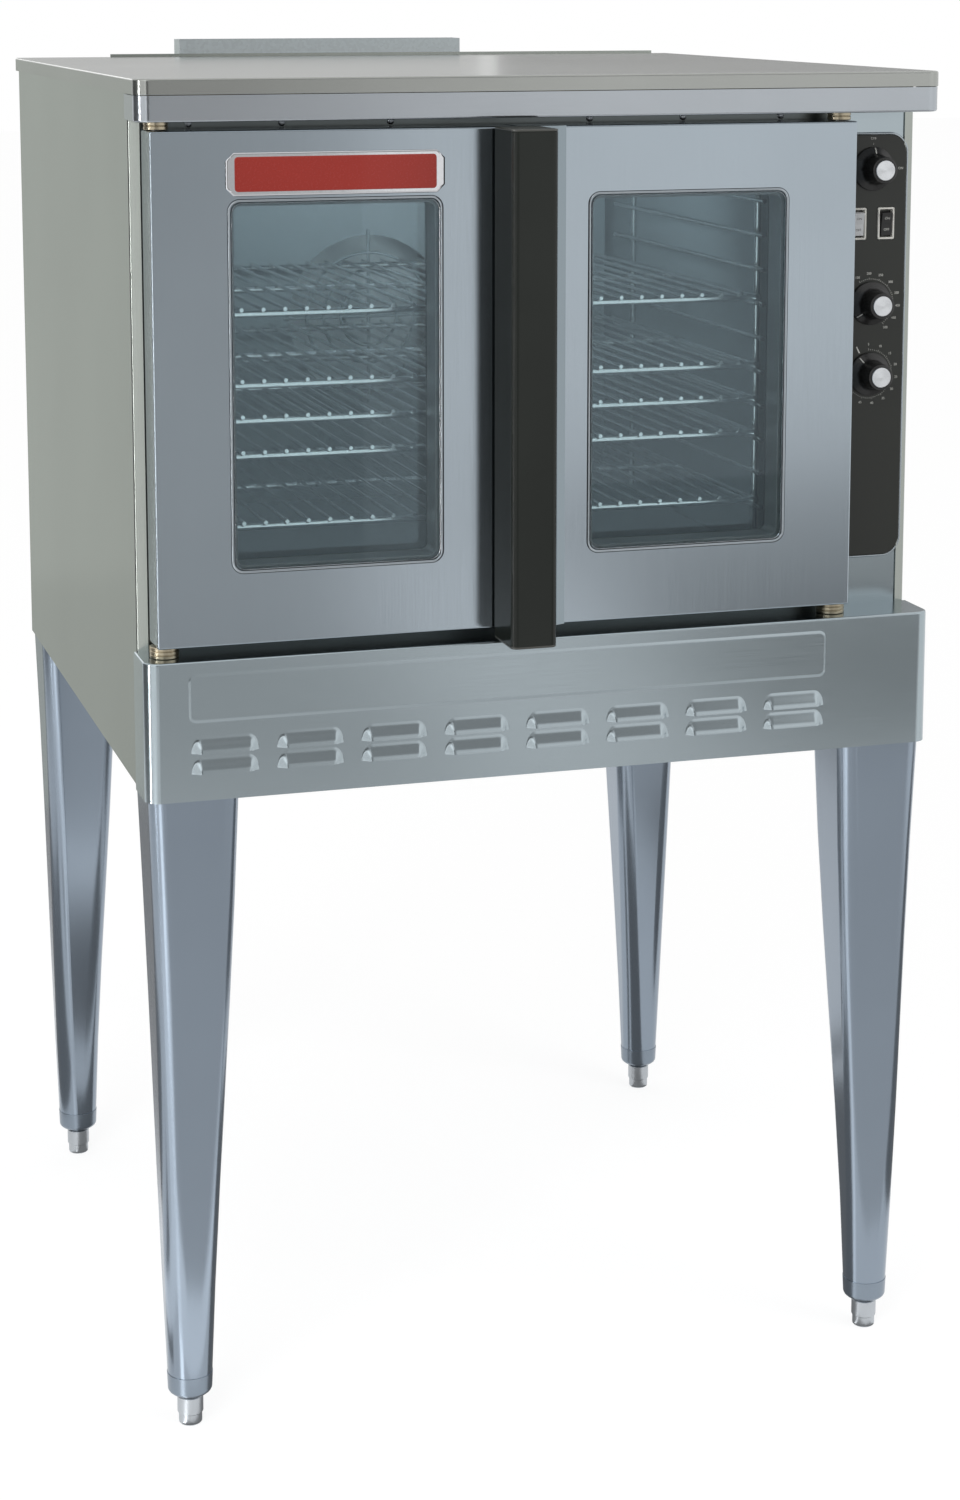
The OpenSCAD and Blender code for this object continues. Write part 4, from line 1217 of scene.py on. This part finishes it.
def leg(corner):
    low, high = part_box(f"leg_{corner}")
    foot = middle_of(f"foot_{corner}")
    side = -1 if "left" in corner else 1
    end = -1 if "front" in corner else 1
    top = Vector((foot.x - side * LEG_LEAN, foot.y - end * LEG_LEAN, high.z))
    low_z = low.z + COLLAR_H
    bpy.ops.object.select_all(action="DESELECT")
    bpy.ops.mesh.primitive_plane_add(size=LEG_TOP, location=top)
    taper = named(f"leg_{corner}_taper")
    edit_all(taper)
    bpy.ops.mesh.bevel(offset=LEG_TOP_R, segments=LEG_SEGMENTS, affect="VERTICES")
    bpy.ops.mesh.delete(type="ONLY_FACE")
    bpy.ops.mesh.primitive_circle_add(
        vertices=4 * (LEG_SEGMENTS + 1),
        radius=LEG_LOW_R,
        location=(foot.x, foot.y, low_z),
        rotation=(0, 0, math.radians(45)),
    )
    bpy.ops.mesh.select_all(action="SELECT")
    bpy.ops.mesh.select_mode(type="EDGE")
    bpy.ops.mesh.bridge_edge_loops(number_cuts=5)
    face_outwards()
    end_edit()
    choose(taper)
    bpy.ops.object.duplicate(linked=False)
    cap = named(f"leg_{corner}_cap")
    thicken(taper, LEG_SHEET)
    smooth(taper, 40)
    fit(taper, leg_steel, "oven_body", "leg_steel", f"leg_{corner}")
    edit_all(cap)
    bpy.ops.mesh.bisect(plane_co=(0, 0, low_z + CAP_H), plane_no=(0, 0, 1), clear_outer=True)
    bpy.ops.mesh.select_all(action="SELECT")
    bpy.ops.transform.shrink_fatten(value=CAP_STEP)
    rim_z = min(point.co.z for point in bmesh.from_edit_mesh(cap.data).verts)
    pick_edges(lambda middle, way: near(middle.z, rim_z))
    ring_down(CAP_DROPS, (foot.x, foot.y, rim_z))
    face_outwards()
    end_edit()
    thicken(cap, CAP_SHEET)
    smooth(cap, 40)
    fit(cap, cap_steel, "oven_body", "leg_steel")


for corner in CORNERS:
    leg(corner)

# %% [markdown]
# ## Turned pieces
# Feet, bushes, knobs and screws are round, so each is turned like on a lathe: a line of points is extruded
# to draw half of the section, and spin sweeps it round its axis. The seam is merged and the normals are
# recalculated.

# %% A lathe
SEAM_GAP = 0.002 * MM


def turned(name, profile, middle, axis, steps=48):
    """Spins a profile of (radius, height) points round an axis through a point."""
    axis = Vector(axis)
    out = axis.orthogonal().normalized()
    points = [Vector(middle) + out * radius + axis * height for radius, height in profile]
    bpy.ops.object.select_all(action="DESELECT")
    bpy.ops.mesh.primitive_plane_add(size=1, location=points[0])
    piece = named(name)
    start_edit(piece)
    bpy.ops.mesh.select_mode(type="VERT")
    bpy.ops.mesh.select_all(action="SELECT")
    bpy.ops.mesh.merge(type="CENTER")
    for first, last in zip(points, points[1:]):
        bpy.ops.mesh.extrude_vertices_move(TRANSFORM_OT_translate={"value": last - first})
    bpy.ops.mesh.select_all(action="SELECT")
    bpy.ops.mesh.spin(steps=steps, angle=2 * math.pi, center=middle, axis=axis)
    bpy.ops.mesh.select_all(action="SELECT")
    bpy.ops.mesh.remove_doubles(threshold=SEAM_GAP)
    face_outwards()
    end_edit()
    return piece


print("lathe ready")

# %% Turn the feet and the bushes
UP = (0, 0, 1)
FOOT_PROFILE = scaled(
    [
        (0, 0), (10.5, 0), (12.6, 0.6), (13.8, 2), (14, 4), (14, 13.4), (14.4, 14.2), (15.2, 14.6),
        (15.5, 15.4), (15.5, 34.6), (14.6, 35.6), (8, 35.7), (8, 60), (7, 61), (0, 61),
    ]
)
BUSH_BORE = 6.1 * MM
BUSH_GAP = 0.3 * MM
TOP_BUSH_R = 14 * MM
LOW_BUSH_R = 17 * MM
GROOVE = 0.8 * MM
GROOVE_FLOOR = 0.2 * MM
GROOVE_TOP = 0.9 * MM

for corner in CORNERS:
    spot = middle_of(f"foot_{corner}")
    foot = turned(f"foot_{corner}_turned", FOOT_PROFILE, (spot.x, spot.y, 0), UP)
    smooth(foot, 40)
    fit(foot, foot_steel, f"foot_{corner}", "foot_steel", f"foot_{corner}")


def bush_profile(height, radius, grooves):
    """A flanged bush with grooves round it, open down the bore."""
    points = [(BUSH_BORE, 0)]
    ring_h = height / (grooves + 1)
    for number in range(grooves + 1):
        base = number * ring_h
        top = base + ring_h
        points += [(radius - GROOVE, base + GROOVE_FLOOR), (radius, base + GROOVE_TOP)]
        points += [(radius, top - GROOVE_TOP), (radius - GROOVE, top - GROOVE_FLOOR)]
    return points + [(BUSH_BORE, height), (BUSH_BORE, 0)]


door_low, door_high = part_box("left_door_skin")
top_bush = bush_profile(trim_low.z - door_high.z - BUSH_GAP, TOP_BUSH_R, 1)
low_bush = bush_profile(door_low.z - panel_high.z - BUSH_GAP, LOW_BUSH_R, 2)
bushes = []
for x in hinge_x:
    bushes.append(turned("hinge_bush_rings", top_bush, (x, hinge_y, door_high.z + BUSH_GAP), UP))
    bushes.append(turned("hinge_bush_low", low_bush, (x, hinge_y, panel_high.z), UP))
bush_set = join(bushes[0], bushes[1:])
smooth(bush_set, 40)
fit(bush_set, bronze, "oven_body", "bush_bronze", "hinge_bushes")

# %% [markdown]
# ## Controls
# A dark plate carries three knobs and two rocker switches. A knob has a wide skirt that covers the shaft, a
# black grip and a spun metal cap with fine rings. The pointer is a thin bar let into the skirt. Only plain
# numbers and ON and OFF are marked.

# %% Control plate
control_low, control_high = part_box("control_plate")
control_size = control_high - control_low
control_middle = (control_low + control_high) / 2
control_x = control_middle.x
control_front = control_low.y
control_base = (control_x, control_high.y, control_middle.z)
PLATE_R = 22 * MM
PLATE_EDGE = 0.8 * MM
SHAFT_HOLE_R = 5 * MM
SWITCH_W = 22 * MM
SWITCH_H = 39 * MM
CUT_MARGIN = 1 * MM
CUT_DEPTH = 6 * MM

board = add_plate("control_board", control_base, control_size.x, control_size.z, PLATE_R, 12)
edit_all(board)
pull_out(control_size.y - PLATE_EDGE)
step_in(scaled([(0.25, 0.5), (0.6, 0.3)]))
face_outwards()
end_edit()
for knob in KNOBS:
    drill(board, (control_x, control_front, middle_of(knob).z), SHAFT_HOLE_R, (math.pi / 2, 0, 0))
for switch in SWITCHES:
    spot = middle_of(switch)
    half = Vector((SWITCH_W / 2 - CUT_MARGIN, CUT_DEPTH, SWITCH_H / 2 - CUT_MARGIN))
    centre = Vector((spot.x, control_front, spot.z))
    cut_block(board, centre - half, centre + half)
smooth(board)
fit(board, control_black, "oven_body", "control_black", "control_plate")

EDGE_W = 3 * MM
EDGE_STEPS = scaled([(0.1, 1.2), (0.5, 0.7), (0.8, 0.3), (0.8, -0.2), (0.5, -0.5), (0.2, -1.4)])
board_edge = ring(
    "control_edge",
    control_base,
    control_size.x + 2 * EDGE_W,
    control_size.z + 2 * EDGE_W,
    PLATE_R + EDGE_W,
    EDGE_STEPS,
    12,
)
smooth(board_edge, 60)
fit(board_edge, bead_steel, "oven_body", "casing_steel")

# %% Knobs, caps and pointers
KNOB_PROFILE = scaled(
    [
        (0, 0), (25.6, 0), (26.4, 0.6), (26.5, 1.6), (26.2, 2.6), (24.6, 3.8), (20.5, 6.6), (18.4, 8.6),
        (17.4, 11), (17, 14), (16.2, 33), (15.6, 34.6), (14.4, 35.4), (13.2, 35.5), (12.8, 35.2),
        (12.6, 34.4), (0, 34.4),
    ]
)
FORWARD = (0, -1, 0)
KNOB_GAP = 0.6 * MM
POINTER_LOW = Vector((-0.6, -5.4, 18.6)) * MM
POINTER_HIGH = Vector((0.6, -2.8, 25.4)) * MM
POINTER_R = 0.2 * MM
POINTER_KNEE = 20 * MM
POINTER_RISE = 3.6 * MM
CAP_R = 12.5
CAP_RINGS = 8
POINTER_TURN = {"mode_knob": 0, "thermostat_knob": -130, "timer_knob": -36}


def cap_profile():
    """A flat metal cap with fine turned rings."""
    points = [(0, 34.5), (CAP_R, 34.5), (CAP_R, 35.6), (CAP_R - 0.6, 36.2)]
    for ring_number in range(CAP_RINGS):
        radius = (CAP_R - 0.8) * (1 - ring_number / CAP_RINGS)
        points.append((radius, 36.3))
        points.append((radius - 0.5, 36.38))
    points.append((0, 36.4))
    return scaled(points)


def pointer(name, base, turn):
    """A thin bar on the slope of the skirt, turned round the knob's axis."""
    bar = add_block(name, base + POINTER_LOW, base + POINTER_HIGH)
    edit_all(bar)
    bevel(POINTER_R, 2)
    pick("VERT", lambda point: point.co.z < base.z + POINTER_KNEE)
    bpy.ops.transform.translate(value=(0, -POINTER_RISE, 0))
    bpy.ops.mesh.select_all(action="SELECT")
    turn_selected("Y", math.radians(turn), base)
    end_edit()
    return bar


for knob in KNOBS:
    base = Vector((control_x, control_front - KNOB_GAP, middle_of(knob).z))
    grip = turned(f"{knob}_grip", KNOB_PROFILE, base, FORWARD, 64)
    smooth(grip, 30)
    fit(grip, knob_black, knob, "knob_black", knob)
    cap = turned(f"{knob}_cap", cap_profile(), base, FORWARD, 64)
    smooth(cap, 50)
    fit(cap, spun_cap, knob, "blower_aluminium")
    mark = pointer(f"{knob}_pointer", base, POINTER_TURN[knob])
    smooth(mark)
    fit(mark, dial_ink, knob, "switch_silver")

# %% Switch bezels, rockers and the bodies behind
BEZEL_R = 2 * MM
BEZEL_STEPS = scaled([(0.1, 1.4), (0.5, 0.6), (1.6, 0.0), (0.5, -0.6), (0.2, -6)])
BEZEL_W = 3.2 * MM
HOUSING_SHORT = 12 * MM
HOUSING_BACK = 5 * MM
CASE_HALF = 22 * MM
CASE_BACK = 4.1 * MM
CASE_R = 1 * MM
case_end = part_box("control_bodies")[1].y
parts = []
for switch in SWITCHES:
    spot = middle_of(switch)
    bezel = ring(
        f"{switch}_bezel",
        (spot.x, control_front, spot.z),
        SWITCH_W,
        SWITCH_H,
        BEZEL_R,
        BEZEL_STEPS,
        4,
    )
    smooth(bezel, 40)
    fit(bezel, pale_moulding, "oven_body", "control_body")
    inner = Vector((SWITCH_W / 2 - BEZEL_W, 0, SWITCH_H / 2 - BEZEL_W))
    low = Vector((spot.x, control_front + HOUSING_BACK, spot.z)) - inner
    high = Vector((spot.x, case_end - HOUSING_SHORT, spot.z)) + inner
    parts.append(add_block(f"{switch}_housing", low, high))
for knob in KNOBS:
    z = middle_of(knob).z
    low = (control_x - CASE_HALF, control_front + CASE_BACK, z - CASE_HALF)
    high = (control_x + CASE_HALF, case_end, z + CASE_HALF)
    parts.append(add_block(f"{knob}_case", low, high))
for part in parts:
    edit_all(part)
    bevel(CASE_R, 3)
    end_edit()
cases = join(parts[0], parts[1:])
cases.name = "control_cases"
smooth(cases)
fit(cases, body_moulding, "oven_body", "control_body", "control_bodies")

ROCKER_TILT = math.radians(9)
ROCKER_HALF_W = 7 * MM
ROCKER_HALF = 14 * MM
ROCKER_BACK = 4 * MM
ROCKER_OUT = 4.6 * MM
ROCKER_DIP = 1.4 * MM
ROCKER_FACE = 4 * MM
ROCKER_R = 0.7 * MM


def rocker(node, material, slot):
    """A rocker with a shallow V across its face, tipped to one side."""
    spot = middle_of(node)
    middle = Vector((spot.x, control_front, spot.z))
    half = Vector((ROCKER_HALF_W, 0, ROCKER_HALF))
    piece = add_block(
        f"{node}_key",
        middle - half - Vector((0, ROCKER_OUT, 0)),
        middle + half + Vector((0, ROCKER_BACK, 0)),
    )
    edit_all(piece)
    bpy.ops.mesh.bisect(plane_co=middle, plane_no=(0, 0, 1))
    pick_edges(lambda place, way: near(place.z, middle.z) and place.y < middle.y - ROCKER_FACE)
    bpy.ops.transform.translate(value=(0, ROCKER_DIP, 0))
    pick_edges(lambda place, way: place.y < middle.y)
    bevel(ROCKER_R, 3)
    bpy.ops.mesh.select_all(action="SELECT")
    turn_selected("X", ROCKER_TILT, middle)
    end_edit()
    smooth(piece)
    fit(piece, material, node, slot, node)


rocker("left_rocker", silver_moulding, "switch_silver")
rocker("right_rocker", knob_black, "switch_black")

# %% [markdown]
# ## Dial marks
# Ticks and numbers are printed on the plate. A number starts as a text object. It is made a mesh while it
# still lies flat, then stood up against the plate, and its place is put into the mesh.

# %% Print the dials
TEXT_SIZE = 4.2 * MM
DIAL_R = 36.5 * MM
TICK_IN = 29 * MM
TICK_OUT = 31.5 * MM
TICK_SHORT = 1 * MM
TICK_W = 0.4 * MM
STOP_OUT = 38 * MM
STOP_W = 1.6 * MM
INK_T = 0.06 * MM


def printed(words, place, lean=0):
    """A word or number that faces the front, its middle at a place; it can lean forward."""
    bpy.ops.object.select_all(action="DESELECT")
    bpy.ops.object.text_add()
    text = bpy.context.object
    text.data.body = words
    text.data.size = TEXT_SIZE
    text.data.align_x = "CENTER"
    text.data.align_y = "CENTER"
    text.data.extrude = INK_T
    bpy.ops.object.convert(target="MESH")
    text = bpy.context.object
    text.rotation_euler = (math.pi / 2 + lean, 0, 0)
    text.location = place
    return named("print")


def tick(z, turn, outer, width):
    """A radial line round a knob; turn is clockwise from the top."""
    line = add_block(
        "tick",
        (control_x - width / 2, control_front - INK_T, z + TICK_IN),
        (control_x + width / 2, control_front + INK_T, z + outer),
    )
    edit_all(line)
    turn_selected("Y", math.radians(turn), (control_x, control_front, z))
    end_edit()
    return line


def dial(z, words, first, last, ticks_between):
    """Words and ticks spread over an arc, in degrees clockwise from the top."""
    marks = []
    step = (last - first) / (len(words) - 1)
    for number, word in enumerate(words):
        turn = math.radians(first + number * step)
        across, up = DIAL_R * math.sin(turn), DIAL_R * math.cos(turn)
        spot = (control_x + across, control_front - INK_T, z + up)
        marks.append(printed(word, spot))
    count = (len(words) - 1) * ticks_between
    for number in range(count + 1):
        outer = TICK_OUT - TICK_SHORT if number % ticks_between else TICK_OUT
        marks.append(tick(z, first + (last - first) * number / count, outer, TICK_W))
    return marks


prints = dial(middle_of("mode_knob").z, ["OFF", "ON"], 0, 90, 1)
prints += dial(middle_of("thermostat_knob").z, [str(n) for n in range(150, 501, 50)], -29, 146, 5)
timer_z = middle_of("timer_knob").z
prints += dial(timer_z, [str(n) for n in range(5, 61, 5)], -2, 273, 5)
prints.append(tick(timer_z, -27, STOP_OUT, STOP_W))
dial_print = join(prints[0], prints[1:])
dial_print.name = "dial_print"
fit(dial_print, dial_ink, "oven_body", "switch_silver")


def rocker_words(node, material, slot):
    """ON and OFF on the two slopes of a rocker, tipped with it."""
    spot = middle_of(node)
    middle = Vector((spot.x, control_front, spot.z))
    slope = math.atan2(ROCKER_DIP, ROCKER_HALF)
    words = []
    for word, side in (("ON", 1), ("OFF", -1)):
        shift = Vector((0, ROCKER_DIP / 2 - ROCKER_OUT, side * ROCKER_HALF / 2))
        words.append(printed(word, middle + shift, side * slope))
    both = join(words[0], words[1:])
    both.name = f"{node}_words"
    edit_all(both)
    turn_selected("X", ROCKER_TILT, middle)
    end_edit()
    fit(both, material, node, slot)


rocker_words("left_rocker", knob_black, "switch_black")
rocker_words("right_rocker", dial_ink, "switch_silver")

# %% [markdown]
# ## Screws
# The casing is held by pan-head screws. One is turned, a cross is cut into its head, and it is copied to the
# back panel, the cover over the motor, the flue box, the face above the doors and the inside of the doors.

# %% Drive the screws
SCREW_PROFILE = scaled(
    [(0, 0), (4.2, 0), (4.2, 0.6), (3.9, 1.5), (3.1, 2.2), (1.8, 2.6), (0, 2.7)]
)
CROSS_LONG = 2.4 * MM
CROSS_THIN = 0.45 * MM
CROSS_MIDDLE = 2 * MM
CROSS_HALF = 0.9 * MM


def pan_head(name, axis):
    """A screw head at the origin that looks along an axis on Y."""
    head = turned(name, SCREW_PROFILE, (0, 0, 0), (0, axis, 0), 20)
    middle = Vector((0, axis * CROSS_MIDDLE, 0))
    for x, z in ((CROSS_LONG, CROSS_THIN), (CROSS_THIN, CROSS_LONG)):
        half = Vector((x, CROSS_HALF, z))
        cut_block(head, middle - half, middle + half)
    smooth(head, 40)
    return head


def spaced(low, high, count):
    return [low + (high - low) * number / (count - 1) for number in range(count)]


def frame_of(low, high, margin, across, up):
    """Places round a rectangle on x and z."""
    xs = spaced(low.x + margin, high.x - margin, across)
    zs = spaced(low.z + margin, high.z - margin, up)
    edges = [(x, z) for x in xs for z in (zs[0], zs[-1])]
    return edges + [(x, z) for z in zs[1:-1] for x in (xs[0], xs[-1])]


def drive_screws(name, places, y, axis, body):
    """Copies a screw head to each place and joins them."""
    head = pan_head("screw", axis)
    copies = [copy_of(head, "screw_copy", (x, y, z)) for x, z in places]
    bpy.data.objects.remove(head)
    screws = join(copies[0], copies[1:])
    screws.name = name
    fit(screws, foot_steel, body, "foot_steel")


back_low, back_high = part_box("back_panel")
cover_low, cover_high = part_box("rear_cover")
flue_low, flue_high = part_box("flue_box")
LIP_H = 20 * MM
back_top = Vector((back_high.x, 0, lid_high.z - LIP_H))
back_places = frame_of(back_low, back_top, 14 * MM, 6, 6)
cover_places = frame_of(cover_low, cover_high, 10 * MM, 4, 4)
flue_places = frame_of(flue_low, flue_high, 12 * MM, 4, 2)
drive_screws("back_screws", back_places, back_high.y, 1, "oven_body")
drive_screws("cover_screws", cover_places, back_high.y + SHEET, 1, "oven_body")
drive_screws("flue_screws", flue_places, flue_high.y, 1, "oven_body")
for side in SIDES:
    liner_low, liner_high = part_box(f"{side}_door_liner")
    liner_places = frame_of(liner_low, liner_high, 14 * MM, 4, 5)
    drive_screws(f"{side}_liner_screws", liner_places, liner_high.y, 1, f"{side}_door")
FACE_SCREWS = (-413, -305, -177, 65, 182, 307)
face_places = [(x * MM, trim_low.z - 5 * MM) for x in FACE_SCREWS]
drive_screws("face_screws", face_places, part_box("face_frame")[0].y, -1, "oven_body")
